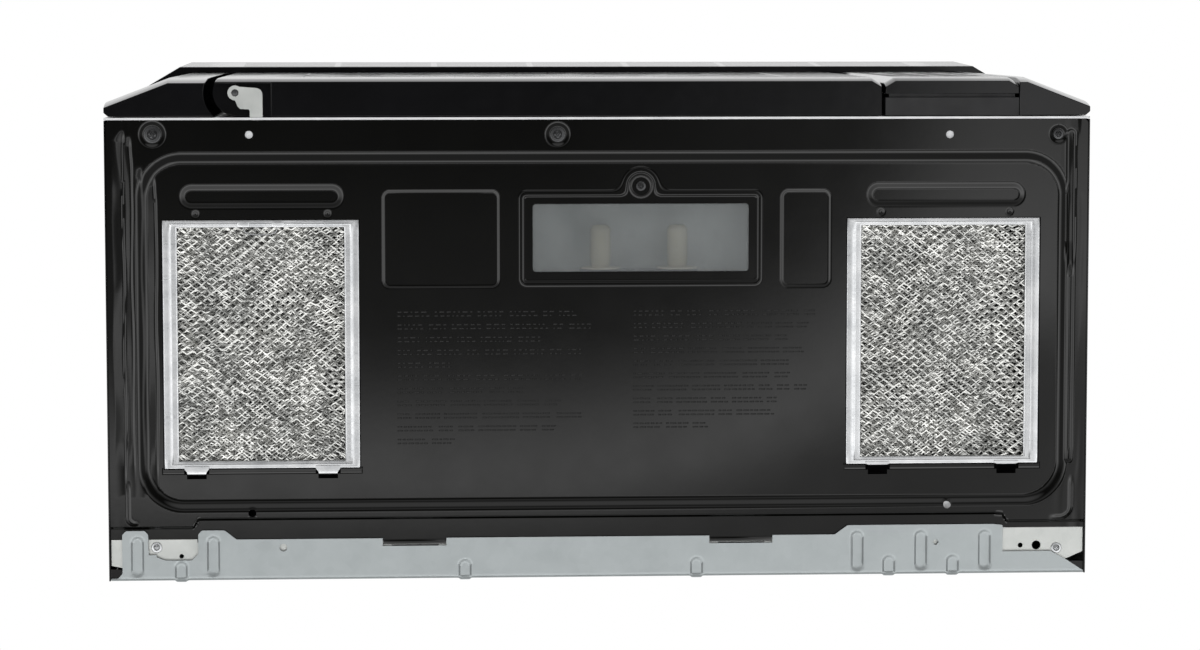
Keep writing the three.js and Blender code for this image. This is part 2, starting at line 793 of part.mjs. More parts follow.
function doorFrame() {
  let body = prism("xy", doorOutline(), doorBottom, doorTop);
  body = body.subtract(box(hollowX, [frontY + doorWall, frameY + 1], hollowZ));
  const pane = prism("xz", rounded(windowX, windowZ, 8), frontY - 1, frontY + doorWall + 1);
  body = body.subtract(pane);
  const pocketX = [pinX - 2 * doorSwing, pinX + pocketRight];
  const pocketY = [pinY - pocketFront, frameY + 1];
  body = body.subtract(box(pocketX, pocketY, [doorBottom - 1, doorBottom + pocketDepth]));
  body = body.subtract(box(pocketX, pocketY, [doorTop - pocketDepth, doorTop + 1]));
  const bore = pinRadius + gap;
  const boreDepth = doorBottom + pocketDepth + pinLength;
  body = body.subtract(moved(rod("z", bore, 0, boreDepth, 20), pinX, pinY, 0));
  const top = doorTop + doorBottom;
  body = body.subtract(moved(rod("z", bore, top - boreDepth, top, 20), pinX, pinY, 0));
  piece("door_frame", body, blackPlastic);
}

function doorGlass() {
  const outline = rounded(grown(windowX, glassLap), grown(windowZ, glassLap), 4, 2);
  const y = frontY + doorWall + gap;
  const face = rounded(grown(windowX, -gap), grown(windowZ, -gap), 8);
  const body = prism("xz", outline, y, y + glassThickness);
  piece("door_glass", body.add(prism("xz", face, frontY + glassSetback, y + 1)), tintedGlass);
}

function chokePanel() {
  const x = grown(hollowX, -gap);
  const z = grown(hollowZ, -gap);
  const screenX = grown(windowX, screenLap);
  const screenZ = grown(windowZ, screenLap);
  const glassY = frontY + doorWall + glassThickness + 2 * gap;
  const back = doorBackY - gap;
  let body = box(x, [back - doorWall, back], z);
  body = body.add(box(screenX, [glassY, back], screenZ));
  body = body.subtract(box(grown(screenX, -1.2), [glassY + sheet, back + 1], grown(screenZ, -1.2)));
  for (const hookZ of [hookLowZ, hookHighZ]) {
    const slotX = grown([hookX, hookX], hookWidth / 2 + slotSide);
    const slotZ = [hookZ - gap, hookZ + hookHeight + hookLift + gap];
    body = body.subtract(box(slotX, [back - doorWall - 1, back + 1], slotZ));
  }
  piece("door_choke_panel", body, cavityEnamel);
}

function latchHooks() {
  const x = [hookX - hookWidth / 2, hookX + hookWidth / 2];
  const barRear = doorBackY - doorWall - 2 * gap;
  const tip = doorBackY + hookReach;
  let body = box(x, [barRear - 9, barRear], [hookLowZ - 15, hookHighZ + hookHeight + 12]);
  for (const z of [hookLowZ, hookHighZ]) {
    const side = corners(
      [barRear - 2, z], [tip - 7, z], [tip - 7, z - hookBarb], [tip - 4, z - hookBarb],
      [tip, z + 2], [tip, z + hookHeight - 3], [tip - 3, z + hookHeight], [barRear - 2, z + hookHeight],
    );
    body = body.add(prism("yz", side, ...x));
  }
  piece("latch_hooks", body, whitePlastic);
}

function latchBody() {
  const x = [cavityRange[1] + sheet + 4, hookX + 13];
  let body = box(x, [bayY, bayY + 30], [hookLowZ - 24, hookHighZ + 34]);
  for (const z of [hookLowZ, hookHighZ]) {
    const pocketX = grown([hookX, hookX], hookWidth / 2 + 3);
    const pocketZ = [z - hookBarb - 4, z + hookHeight + hookLift + 3];
    body = body.subtract(box(pocketX, [bayY - 1, bayY + 22], pocketZ));
  }
  piece("latch_body", body, whitePlastic);
}

// Fascia beside the door

function leftEndCap() {
  const innerRear = Math.asin((doorBackY - pinY) / leftCapArc);
  const innerFront = Math.asin((frontY - pinY) / leftCapArc);
  const outline = [
    ...arc(pinX, pinY, leftCapArc, Math.PI - innerRear, Math.PI - innerFront, 8),
  ].reverse();
  const plan = [
    ...outline,
    ...corners([-sideX, doorBackY], [-sideX, frameY - endCapSetback], [-endCapCorner, frontY]),
  ];
  let body = prism("xy", plan, 0, doorTop);
  const side = sideX - panelWall;
  const slantY = frameY - endCapSetback + capInset;
  const hollow = corners([-capHollow, doorBackY + 1], [-side, doorBackY + 1], [-side, slantY],
    [1 - endCapCorner, frontY + panelWall], [-capHollow - 2, frontY + panelWall]);
  body = body.subtract(prism("xy", hollow, panelWall, doorTop - panelWall));
  piece("left_end_cap", body, blackPlastic);
}

function rightEndCap() {
  const plan = corners([panelRight + gap, doorBackY], [panelRight + gap, frontY], [endCapCorner, frontY],
    [sideX, frameY - endCapSetback], [sideX, doorBackY]);
  let body = prism("xy", plan, 0, doorTop);
  const side = sideX - panelWall;
  const slantY = frameY - endCapSetback + capInset;
  const inner = panelRight + gap + panelWall;
  const hollow = corners([inner, doorBackY + 1], [inner, frontY + panelWall],
    [endCapCorner - 1, frontY + panelWall], [side, slantY], [side, doorBackY + 1]);
  body = body.subtract(prism("xy", hollow, panelWall, doorTop - panelWall));
  piece("right_end_cap", body, blackPlastic);
}

// The grille stands in front of the door and leans out to its top edge.
function topGrille() {
  const lowY = frontY - grilleProud;
  const highY = lowY - grilleLean;
  const section = (inset, back) => corners([back, grilleZ + inset], [lowY + inset, grilleZ + inset],
    [highY + inset, caseHeight - inset], [back, caseHeight - inset]);
  const plan = (inset) => corners([-sideX + inset, frameY], [-sideX + inset, frameY - grilleSetback + inset],
    [-grilleCorner + inset / 2, highY], [grilleCorner - inset / 2, highY],
    [sideX - inset, frameY - grilleSetback + inset], [sideX - inset, frameY]);
  const span = [-sideX, sideX];
  let body = prism("yz", section(0, doorBackY), ...span);
  body = body.intersect(prism("xy", plan(0), 0, caseHeight + 1));
  const hollow = prism("yz", section(grilleWall, doorBackY + 1), ...span);
  body = body.subtract(hollow.intersect(prism("xy", plan(grilleWall), 0, caseHeight + 1)));
  const pitchX = (2 * grilleHalf - 4 * grilleWall) / louvreColumns;
  const pitchZ = (grilleHeight - 3 * grilleWall) / louvreRows;
  const slotY = [highY - 1, frontY + grilleWall];
  for (let column = 0; column < louvreColumns; column += 1) {
    const left = -grilleHalf + 3 * grilleWall + column * pitchX;
    for (let row = 0; row < louvreRows; row += 1) {
      const low = grilleZ + 2 * grilleWall + row * pitchZ;
      body = body.subtract(box([left, left + pitchX - 2 * grilleWall], slotY, [low, low + louvreHeight]));
    }
  }
  piece("top_grille", body, blackPlastic);
}

// Control panel, what is set into it, and the housing behind it

const panelBackY = frontY + panelShell;
const housingFrontY = panelBackY + panelGroove;

function controlPanel() {
  const plan = corners([panelRight, panelBackY], [panelLeft, panelBackY], [panelLeft, frontY + bevelDepth],
    [panelLeft + bevelWidth, frontY], [panelRight - bevelWidth, frontY], [panelRight, frontY + bevelDepth]);
  let body = prism("xy", plan, doorBottom, doorTop);
  const inside = [panelLeft + panelWall, panelRight - panelWall];
  const insideZ = [doorBottom + panelWall, doorTop - panelWall];
  body = body.subtract(box(inside, [frontY + 2 * panelWall, panelBackY + 1], insideZ));
  const through = [frontY - 1, frontY + 3 * panelWall];
  body = body.subtract(box(grown(buttonX, gap), through, grown(buttonZ, gap)));
  body = body.subtract(box(grown(keypadX, gap), [frontY - 1, frontY + inlay], grown(keypadZ, gap)));
  body = body.subtract(box(grown(displayX, gap), [frontY - 1, frontY + inlay + 1], grown(displayZ, gap)));
  body = body.subtract(box(grown(displayX, -4), through, grown(displayZ, -4)));
  piece("control_panel", body, blackPlastic);
  piece("keypad_membrane", box(keypadX, [frontY, frontY + inlay - gap], keypadZ), mattBlack);
  const window = prism("xz", rounded(displayX, displayZ, 2, 2), frontY, frontY + inlay + 1 - gap);
  piece("display_window", window, tintedGlass);
}

const leverPivotY = frontY + leverSetback;

function controlHousing() {
  const outer = [panelLeft, panelRight];
  const collar = grown(outer, -panelWall - gap);
  const inner = grown(collar, -2);
  const z = [doorBottom, doorTop];
  const collarZ = grown(z, -panelWall - gap);
  let body = box(outer, [housingFrontY, doorBackY], z);
  body = body.add(box(collar, [housingFrontY - collarReach, housingFrontY + 1], collarZ));
  const hollowY = [housingFrontY - collarReach - 1, doorBackY - 2];
  body = body.subtract(box(inner, hollowY, grown(collarZ, -2)));
  const earY = [leverPivotY - leverEar.half, doorBackY - leverEar.sheet / 3];
  const earZ = around(leverPivotZ, leverEar.half);
  const earLeft = [leverX[0] - leverEar.gap - leverEar.sheet, leverX[0] - leverEar.gap];
  const earRight = [leverX[1] + leverEar.gap, leverX[1] + leverEar.gap + leverEar.sheet];
  body = body.add(box(earLeft, earY, earZ)).add(box(earRight, earY, earZ));
  const pin = rod("x", leverPinRadius, ...grown(leverX, 2 * leverEar.gap), 16);
  body = body.add(moved(pin, 0, leverPivotY, leverPivotZ));
  piece("control_housing", body, mattBlack);
}

function openButton() {
  let body = box(buttonX, [frontY, frontY + buttonWallDepth], buttonZ);
  const hollowY = [frontY + buttonWall, frontY + buttonDepth + 1];
  body = body.subtract(box(grown(buttonX, -buttonWall), hollowY, grown(buttonZ, -buttonWall)));
  const bossX = around((leverX[0] + leverX[1]) / 2, buttonBoss[0]);
  const bossZ = around(leverPivotZ - leverArm, buttonBoss[1]);
  body = body.add(box(bossX, [frontY, frontY + buttonDepth], bossZ));
  piece("door_open_button", body, blackPlastic);
}

function openLever() {
  const armY = [frontY + buttonDepth + gap, frontY + buttonDepth + gap + 3];
  const low = leverPivotZ - leverArm - 6;
  const hub = 5.4;
  const side = [
    ...corners([armY[0] - leverPivotY, low - leverPivotZ], [armY[1] - leverPivotY, low - leverPivotZ]),
    ...arc(0, 0, hub, -quarterTurn * 0.7, quarterTurn * 1.6, 10),
    ...corners([armY[0] - leverPivotY, 4]),
  ];
  const bore = circle(0, 0, leverPinRadius + gap, 16);
  const body = prism("yz", side, ...leverX, [bore]);
  piece("open_lever", body, whitePlastic, 0, leverPivotY, leverPivotZ);
}

const boardSheet = 1.6;
const boardLowZ = 110;
const relayPitch = 30;

function controlBoard() {
  const x = [panelLeft + 10, panelRight - 10];
  const rear = doorBackY - 2 - gap;
  let body = box(x, [rear - boardSheet, rear], [boardLowZ, displayZ[1] + 6]);
  const mount = (partX, partZ, height) => {
    body = body.add(box(partX, [rear - height, rear - boardSheet / 2], partZ));
  };
  mount(grown(displayX, -6), grown(displayZ, -4), 12);
  for (const relay of [0, 1, 2]) {
    const z = boardLowZ + 20 + relay * relayPitch;
    mount([displayX[0] + 10, displayX[0] + 26], [z, z + 20], 11);
  }
  mount([displayX[1] - 32, displayX[1] - 4], [boardLowZ + 30, boardLowZ + 66], 9);
  piece("control_board", body, boardGreen);
}

// Grease filters: a folded frame that grips the mesh pad, with a lip at the front and tabs at the rear

function filterFrame() {
  const halfX = filterWidth / 2;
  const outX = [-halfX, halfX];
  const outY = [0, filterLength];
  let body = box(outX, outY, [0, filterThickness]);
  const window = [grown(outX, -filterBorder), grown(outY, -filterBorder / 2)];
  body = body.subtract(box(window[0], window[1], [-1, filterThickness + 1]));
  const channelZ = [filterSheet, filterThickness - filterSheet];
  body = body.subtract(box(grown(outX, -filterSheet), grown(outY, -filterSheet), channelZ));
  const lipZ = [fieldTop + gap - fieldRise, fieldTop + gap - fieldRise + sheet];
  const lipX = [-filterLipHalf, filterLipHalf];
  body = body.add(box(lipX, [-filterLip, filterSheet], lipZ));
  for (const side of [-filterTabX, filterTabX]) {
    const x = grown([side, side], filterTabWidth / 2);
    const bend = filterLength + 4.8;
    body = body.add(box(x, [filterLength - filterSheet, bend], [0, sheet]));
    body = body.add(box(x, [bend - sheet, bend], [0, lipZ[1]]));
    body = body.add(box(x, [bend - sheet, filterLength + filterTabReach], lipZ));
  }
  return body;
}

// The mesh pad is a flat net of staggered diamond gaps.
function filterNet() {
  const padX = grown([-filterWidth / 2, filterWidth / 2], -filterSheet - gap);
  const padY = grown([0, filterLength], -filterSheet - gap);
  const openX = grown([-filterWidth / 2, filterWidth / 2], -filterBorder - 1);
  const openY = grown([0, filterLength], -filterBorder / 2 - 1);
  const pitchX = (openX[1] - openX[0]) / netColumns;
  const pitchY = (openY[1] - openY[0]) / netRows;
  const holes = [];
  const rows = 2 * netRows - 1;
  for (let row = 0; row < rows; row += 1) {
    const staggered = row % 2;
    const y = openY[0] + (row + 1) * pitchY / 2;
    for (let column = 0; column < netColumns - staggered; column += 1) {
      const x = openX[0] + (column + (1 + staggered) / 2) * pitchX;
      const halfX = pitchX / 2 - netStrand / 2;
      const halfY = pitchY / 2 - netStrand / 2;
      holes.push(corners([x, y - halfY], [x + halfX, y], [x, y + halfY], [x - halfX, y]));
    }
  }
  const outline = rounded(padX, padY, 1, 1);
  return prism("xy", outline, filterSheet + gap, filterThickness - filterSheet - gap, holes);
}

function filters() {
  filterX.forEach((x, i) => {
    const side = i === 0 ? "left" : "right";
    piece(`filter_frame_${side}`, filterFrame(), aluminium, x, behind(filterFront), fieldRise);
    piece(`filter_mesh_${side}`, filterNet(), aluminium, x, behind(filterFront), fieldRise);
  });
}

// Lamp: cover, lens, bulbs in their socket bar, and the housing over them

function lampCover() {
  const x = grown([lampX, lampX], lampWidth / 2);
  const y = [behind(lampFront), behind(lampFront + lampLength)];
  const bossY = behind(lampFront - bossSetback);
  const outline = rounded(x, y, lampRadius);
  let body = prism("xy", outline, lampCoverZ, lampCoverZ + lampCoverSheet);
  const arch = moved(rod("z", bossRadius, lampCoverZ, lampCoverZ + lampCoverSheet, 24), lampX, bossY, 0);
  body = body.add(arch);
  const windowX = grown([lampX, lampX], lensWidth / 2);
  const windowY = [behind(lensFront), behind(lensFront + lensLength)];
  const through = [lampCoverZ - 3, lampCoverZ + 3];
  const rimX = grown(windowX, 5.5);
  const rimY = grown(windowY, 5.8);
  body = body.add(prism("xy", rounded(rimX, rimY, 4, 3), lampCoverZ - 0.8, lampCoverZ + 0.5));
  body = body.subtract(prism("xy", rounded(windowX, windowY, 2.5, 3), ...through));
  body = body.subtract(moved(rod("z", screwShank + gap, ...through, 12), lampX, bossY, 0));
  piece("lamp_cover", body, blackEnamel);
}

function lampLens() {
  const x = grown([lampX, lampX], lensWidth / 2 + lensMargin);
  const y = grown([behind(lensFront), behind(lensFront + lensLength)], lensMargin);
  piece("lamp_lens", prism("xy", rounded(x, y, 2, 2), fieldRise, fieldRise + lensThickness), frosted);
}

const housingX = grown([lampX, lampX], lensWidth / 2 + lensMargin + 2);
const housingY = grown([behind(lensFront), behind(lensFront + lensLength)], lensMargin + 2);
const housingZ = fieldTop + gap;

function lampHousing() {
  const top = housingZ + lampHousingHeight;
  let body = box(housingX, housingY, [housingZ, top]);
  body = body.subtract(box(grown(housingX, -sheet), grown(housingY, -sheet), [housingZ - 1, top - sheet]));
  piece("lamp_housing", body, zincLayer);
  const socketY = [housingY[1] - sheet - gap - socketDepth, housingY[1] - sheet - gap];
  const barX = grown([lampX, lampX], bulbSpacing / 2 + 15);
  piece("lamp_socket_bar", box(barX, socketY, [bulbZ - 10, bulbZ + 10]), whitePlastic);
  const tip = bulbBaseLength + bulbLength;
  const bulb = turned("y", [
    [0, -tip],
    [bulbRadius * 0.5, -tip + 1.4],
    [bulbRadius * 0.87, -tip + 5],
    [bulbRadius, -tip + 9],
    [bulbRadius * 0.94, -bulbBaseLength - 8],
    [bulbBaseRadius, -bulbBaseLength],
    [bulbBaseRadius, 0],
    [0, 0],
  ], 12);
  for (const [side, offset] of [["left", -bulbSpacing / 2], ["right", bulbSpacing / 2]]) {
    piece(`lamp_bulb_${side}`, bulb, lampGlass, lampX + offset, socketY[0] - gap, bulbZ);
  }
}

// Oven cavity and turntable

function ovenCavity() {
  let body = box(grown(cavityRange, sheet), [bayY, cavityRearY + sheet], grown([cavityFloor, cavityTop], sheet));
  body = body.subtract(box(cavityRange, [bayY - 1, cavityRearY], [cavityFloor, cavityTop]));
  body = body.subtract(moved(rod("z", shaftRadius + 2, 0, cavityFloor + 5, 16), cavityX, trayY, 0));
  const feed = [grown(waveguideY, -12), grown(waveguideZ, -12)];
  body = body.subtract(box([cavityRange[1] - 1, cavityRange[1] + 3], ...feed));
  piece("oven_cavity", body, cavityEnamel);
}

function turntable() {
  const floor = cavityFloor - sheet;
  const motor = rod("z", motorRadius, -motorHeight - gap, -gap, 24)
    .subtract(rod("z", shaftRadius + gap, -8, 1, 12));
  piece("turntable_motor", motor, zincSheet, cavityX, trayY, floor);
  const trayUnder = 2 * rollerRadius + 2 * gap;
  const stemLow = -6 - sheet;
  let coupler = rod("z", shaftRadius, stemLow, 5, 16).add(rod("z", 7, 1, trayUnder - gap, 16));
  const arm = box([0, 18], [-3, 3], [1, trayUnder - gap]);
  for (let i = 0; i < 3; i += 1) coupler = coupler.add(turnedAboutZ(arm, (i * fullTurn) / 3));
  piece("turntable_coupler", coupler, whitePlastic, cavityX, trayY, cavityFloor);
  const tray = turned("z", [
    [0, 0],
    [trayRadius - 16, 0],
    [trayRadius, trayRim - trayThickness],
    [trayRadius, trayRim],
    [trayRadius - 17, trayThickness],
    [0, trayThickness],
  ], 32);
  piece("glass_tray", tray, clearGlass, cavityX, trayY, cavityFloor + trayUnder);
  const axleZ = rollerRadius + gap;
  const inner = trackRadius - rollerWidth / 2 - 1 - ringWidth;
  let carrier = ring("z", inner, inner + ringWidth, axleZ - ringThickness / 2, axleZ + ringThickness / 2, 30);
  const stub = rod("x", rollerPin, inner + ringWidth / 2, trackRadius + rollerWidth / 2 + 1, 8);
  for (let i = 0; i < 3; i += 1) {
    carrier = carrier.add(moved(turnedAboutZ(stub, (i * fullTurn) / 3), 0, 0, axleZ));
  }
  piece("roller_ring", carrier, whitePlastic, cavityX, trayY, cavityFloor);
  for (let i = 0; i < 3; i += 1) {
    const angle = (i * fullTurn) / 3;
    const wheel = ring("x", rollerBore, rollerRadius, -rollerWidth / 2, rollerWidth / 2, 16);
    const x = cavityX + trackRadius * Math.cos(angle);
    const y = trayY + trackRadius * Math.sin(angle);
    const mesh = piece(`roller_${i + 1}`, wheel, whitePlastic, x, y, cavityFloor + axleZ);
    mesh.rotation.z = angle;
  }
}

// Equipment bay on the right: shelf, waveguide, magnetron, transformer, capacitor and cooling fan

const bayLeft = cavityRange[1] + sheet + gap;
const shelfTop = shelfZ + sheet;

function equipmentShelf() {
  const x = [bayLeft, bayX];
  const y = [bayY + 34, ahead(44)];
  let body = box(x, y, [shelfZ, shelfTop]);
  body = body.add(box(x, [y[0], y[0] + sheet], [shelfZ, shelfZ + 12]));
  body = body.add(box([x[1] - sheet, x[1]], y, [shelfZ, shelfZ + 20]));
  piece("equipment_shelf", body, zincSheet);
}

const magnetronPlate = { sheet: 3, halfY: 42, halfZ: 32 };
const magnetronProbe = { radius: 8.5, length: 14 };
const magnetronAnode = { radius: 20, from: 2, to: 52 };
const magnetronFins = { count: 4, first: 9, pitch: 10, sheet: 1.5, halfY: 40, halfZ: 30 };
const magnetronBox = { from: 50, to: 64, half: 22 };
const waveguideHole = magnetronProbe.radius + 1.5;

function waveguide() {
  const x = [bayLeft, bayLeft + waveguideReach];
  let body = box(x, waveguideY, waveguideZ);
  const inside = [grown(waveguideY, -sheet), grown(waveguideZ, -sheet)];
  body = body.subtract(box([x[0] - 1, x[1] - sheet], ...inside));
  const y = (waveguideY[0] + waveguideY[1]) / 2;
  const z = (waveguideZ[0] + waveguideZ[1]) / 2;
  body = body.subtract(moved(rod("x", waveguideHole, x[1] - 4, x[1] + 2, 16), 0, y, z));
  piece("waveguide", body, zincLayer);
  const faceX = x[1] + gap;
  const plate = magnetronPlate;
  const probe = magnetronProbe;
  const anode = magnetronAnode;
  const fins = magnetronFins;
  const cover = magnetronBox;
  let magnetron = box([0, plate.sheet], around(0, plate.halfY), around(0, plate.halfZ));
  magnetron = magnetron.add(rod("x", probe.radius, -probe.length, 1, 16));
  magnetron = magnetron.add(rod("x", anode.radius, anode.from, anode.to, 12));
  for (let fin = 0; fin < fins.count; fin += 1) {
    const at = fins.first + fin * fins.pitch;
    magnetron = magnetron.add(box([at, at + fins.sheet], around(0, fins.halfY), around(0, fins.halfZ)));
  }
  magnetron = magnetron.add(box([cover.from, cover.to], around(0, cover.half), around(0, cover.half)));
  piece("magnetron", magnetron, laminations, faceX, y, z);
}

const transformerCore = { halfX: 48, halfY: 30, height: 78, legIn: 12, legOut: 30, low: 14, high: 64 };
const transformerInset = 78;
const canHalf = [17, 26];
const canHeight = 62;
const tagY = 10;
const tagHeight = 10;

function powerParts() {
  const z = shelfTop + gap;
  const { halfX, halfY, height, legIn, legOut, low, high } = transformerCore;
  let transformer = box([-halfX, halfX], [-halfY, halfY], [0, height]);
  transformer = transformer.subtract(box([-legOut, -legIn], [-halfY - 1, halfY + 1], [low, high]));
  transformer = transformer.subtract(box([legIn, legOut], [-halfY - 1, halfY + 1], [low, high]));
  const winding = rounded(around(0, legOut - 2), around(0, halfY + 12), 12, 3);
  transformer = transformer.add(prism("xy", winding, low + 4, high - 4));
  piece("transformer", transformer, laminations, fromRight(transformerInset), behind(94), z);
  const can = slotOutline(around(0, canHalf[0]), around(0, canHalf[1]));
  let capacitor = prism("xy", can(0), 0, canHeight);
  for (const y of [-tagY, tagY]) {
    const tagZ = [canHeight - 2, canHeight + tagHeight];
    capacitor = capacitor.add(box(around(0, 3), around(y, 1), tagZ));
  }
  piece("capacitor", capacitor, aluminium, fromRight(33), behind(184), z);
}

function coolingFan() {
  const x = [bayLeft, bayX - sheet - gap];
  const spoke = 6;
  const pad = 17;
  const opening = fanRadius + fanTip;
  const plate = rounded(x, [shelfTop + gap, cavityTop - 26], 2, 2);
  const plateY = fanY + 20;
  const wide = 2 * opening;
  let body = prism("xz", plate, plateY, plateY + sheet);
  const through = [plateY - 10, plateY + 10];
  let hole = moved(rod("y", opening, ...through, 24), fanX, 0, fanZ);
  hole = hole.subtract(box(around(fanX, spoke), through, around(fanZ, wide)));
  hole = hole.subtract(box(around(fanX, wide), through, around(fanZ, spoke)));
  hole = hole.subtract(box(around(fanX, pad), through, around(fanZ, pad)));
  body = body.subtract(hole);
  body = body.subtract(moved(rod("y", shaftRadius + 2, ...through, 16), fanX, 0, fanZ));
  piece("fan_bracket", body, zincSheet);
  const motorStart = plateY + sheet + gap;
  const motor = rod("y", 16, 0, 26, 20).add(box([-20, 20], [4, 20], [-24, 24]))
    .subtract(rod("y", shaftRadius + gap, -1, 15, 12));
  piece("fan_motor", motor, laminations, fanX, motorStart, fanZ);
  let blade = rod("y", 12, 0, 16, 16).add(rod("y", shaftRadius, 10, motorStart - fanY + 12, 12));
  const sweep = prism("xz", rounded([8, fanRadius], [-13, 13], 9, 2), -0.8, 0.8);
  for (let i = 0; i < 5; i += 1) {
    const geometry = surface(sweep);
    geometry.rotateX(0.45);
    geometry.rotateY((i * fullTurn) / 5);
    geometry.translate(0, 8, 0);
    blade = blade.add(solid(geometry));
  }
  piece("fan_blade", blade, mattBlack, fanX, fanY, fanZ);
}

// Exhaust blower on top of the cavity

const blowerZ = cavityTop + sheet + gap;
const blowerAxisZ = blowerZ + blowerHeight / 2;

function blowerWheel(sign) {
  const inner = blowerMotorLength / 2 + 6;
  const outer = inner + wheelLength;
  const rim = wheelRadius - 7;
  let body = rod("x", wheelRadius, inner, inner + 2, 16);
  body = body.add(ring("x", rim, wheelRadius, outer - 3, outer, 16));
  body = body.add(rod("x", blowerShaft, blowerMotorLength / 2 - 20, inner + 18, 12));
  body = body.add(rod("x", 9, inner, inner + 16, 12));
  const vane = box([inner + 1, outer - 1], [-0.7, 0.7], [rim + 0.5, wheelRadius - 0.5]);
  for (let i = 0; i < wheelVanes; i += 1) {
    const geometry = surface(vane);
    geometry.rotateX((i * fullTurn) / wheelVanes);
    body = body.add(solid(geometry));
  }
  const geometry = surface(body);
  if (sign < 0) geometry.rotateZ(Math.PI);
  return solid(geometry);
}

function blower() {
  const x = grown([0, 0], blowerLength / 2);
  const y = grown([0, 0], blowerWidth / 2);
  let housing = box(x, y, [0, blowerHeight]);
  housing = housing.subtract(box(grown(x, -sheet), grown(y, -sheet), [sheet, blowerHeight + 1]));
  const inlet = rod("x", blowerInlet, -blowerLength, blowerLength, 24);
  housing = housing.subtract(moved(inlet, 0, 0, blowerHeight / 2));
  piece("blower_housing", housing, zincSheet, cavityX, blowerY, blowerZ);
  const half = blowerMotorLength / 2;
  let motor = rod("x", blowerMotorRadius, -half, half, 24);
  const foot = [sheet + gap - blowerHeight / 2, 0];
  motor = motor.add(box([-half + 12, -half + 22], [-24, 24], foot));
  motor = motor.add(box([half - 22, half - 12], [-24, 24], foot));
  motor = motor.subtract(rod("x", blowerShaft + gap, -half - 1, half + 1, 12));
  piece("blower_motor", motor, laminations, cavityX, blowerY, blowerAxisZ);
  piece("blower_wheel_right", blowerWheel(1), mattBlack, cavityX, blowerY, blowerAxisZ);
  piece("blower_wheel_left", blowerWheel(-1), mattBlack, cavityX, blowerY, blowerAxisZ);
}

basePan();
screws();
rearPanel();
rearRail();
outerCase();
frontFrame();
hinges();
doorFrame();
doorGlass();
chokePanel();
latchHooks();
latchBody();
leftEndCap();
rightEndCap();
topGrille();
controlPanel();
controlHousing();
openButton();
openLever();
controlBoard();
filters();
lampCover();
lampLens();
lampHousing();
ovenCavity();
turntable();
equipmentShelf();
waveguide();
powerParts();
coolingFan();
blower();

export default group;
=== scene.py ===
import json
import math

import bpy
import numpy as np
from mathutils import Matrix, Vector


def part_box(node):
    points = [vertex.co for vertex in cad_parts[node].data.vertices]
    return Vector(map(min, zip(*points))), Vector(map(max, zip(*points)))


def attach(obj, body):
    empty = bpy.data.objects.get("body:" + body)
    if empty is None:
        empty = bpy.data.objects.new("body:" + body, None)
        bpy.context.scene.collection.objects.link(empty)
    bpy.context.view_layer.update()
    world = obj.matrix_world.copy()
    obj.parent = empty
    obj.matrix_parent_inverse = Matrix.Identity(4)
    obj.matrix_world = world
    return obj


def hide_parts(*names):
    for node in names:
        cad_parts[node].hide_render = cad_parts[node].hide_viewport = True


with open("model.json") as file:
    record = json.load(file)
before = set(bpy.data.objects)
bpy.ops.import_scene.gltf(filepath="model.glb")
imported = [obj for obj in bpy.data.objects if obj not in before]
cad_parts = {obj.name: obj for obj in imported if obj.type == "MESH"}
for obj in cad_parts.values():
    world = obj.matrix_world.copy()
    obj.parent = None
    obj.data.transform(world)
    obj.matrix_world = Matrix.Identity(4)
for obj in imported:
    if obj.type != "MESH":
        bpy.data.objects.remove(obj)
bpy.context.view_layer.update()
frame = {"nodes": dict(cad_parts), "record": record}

# An over the range microwave seen from below. Lengths in the dictionaries are millimetres, colours are
# sRGB hex values. X runs to the viewer's right, Y to the wall, Z up.
nodes = frame["nodes"]


# lowest and highest corner of a CAD node, in millimetres
def boxOf(name):
    return [np.array(corner) * 1000 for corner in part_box(name)]


frameY = boxOf("front_frame")[0][1]
rearY = boxOf("rear_panel")[1][1]
bayY = boxOf("base_pan")[0][1]
bayX = boxOf("base_pan")[1][0]
sideX = boxOf("outer_case")[1][0]


# places along Y, measured from the pan's front frame and from the wall
def behind(distance):
    return frameY + distance


def ahead(distance):
    return rearY - distance


# Camera, fitted to the photograph: place in metres, turns about X, Y and Z in radians
photoCamera = {"place": (-0.1464, -0.2296, -2.6480), "turns": (0.0866, -0.0548, -0.0052), "lens": 103.46,
               "sensor": 36, "clip": (0.05, 20)}


def addCamera():
    data = bpy.data.cameras.new("photoCamera")
    data.lens = photoCamera["lens"]
    data.sensor_width = photoCamera["sensor"]
    data.clip_start, data.clip_end = photoCamera["clip"]
    camera = bpy.data.objects.new("photoCamera", data)
    bpy.context.scene.collection.objects.link(camera)
    aboutX, aboutY, aboutZ = photoCamera["turns"]
    turn = Matrix.Rotation(aboutZ, 3, "Z") @ Matrix.Rotation(aboutY, 3, "Y") @ Matrix.Rotation(aboutX, 3, "X")
    facing = turn.transposed() @ Matrix.Diagonal((1, -1, -1))
    camera.matrix_world = Matrix.Translation(photoCamera["place"]) @ facing.to_4x4()
    bpy.context.scene.camera = camera


addCamera()
print("camera set")


# Each channel: below 0.04045 it is divided by 12.92, above it is ((c + 0.055) / 1.055) to the power 2.4.
def linear(hexCode):
    parts = np.array([int(hexCode[i:i + 2], 16) / 255 for i in (1, 3, 5)])
    light = np.where(parts <= 0.04045, parts / 12.92, ((parts + 0.055) / 1.055) ** 2.4)
    return (*light.tolist(), 1.0)


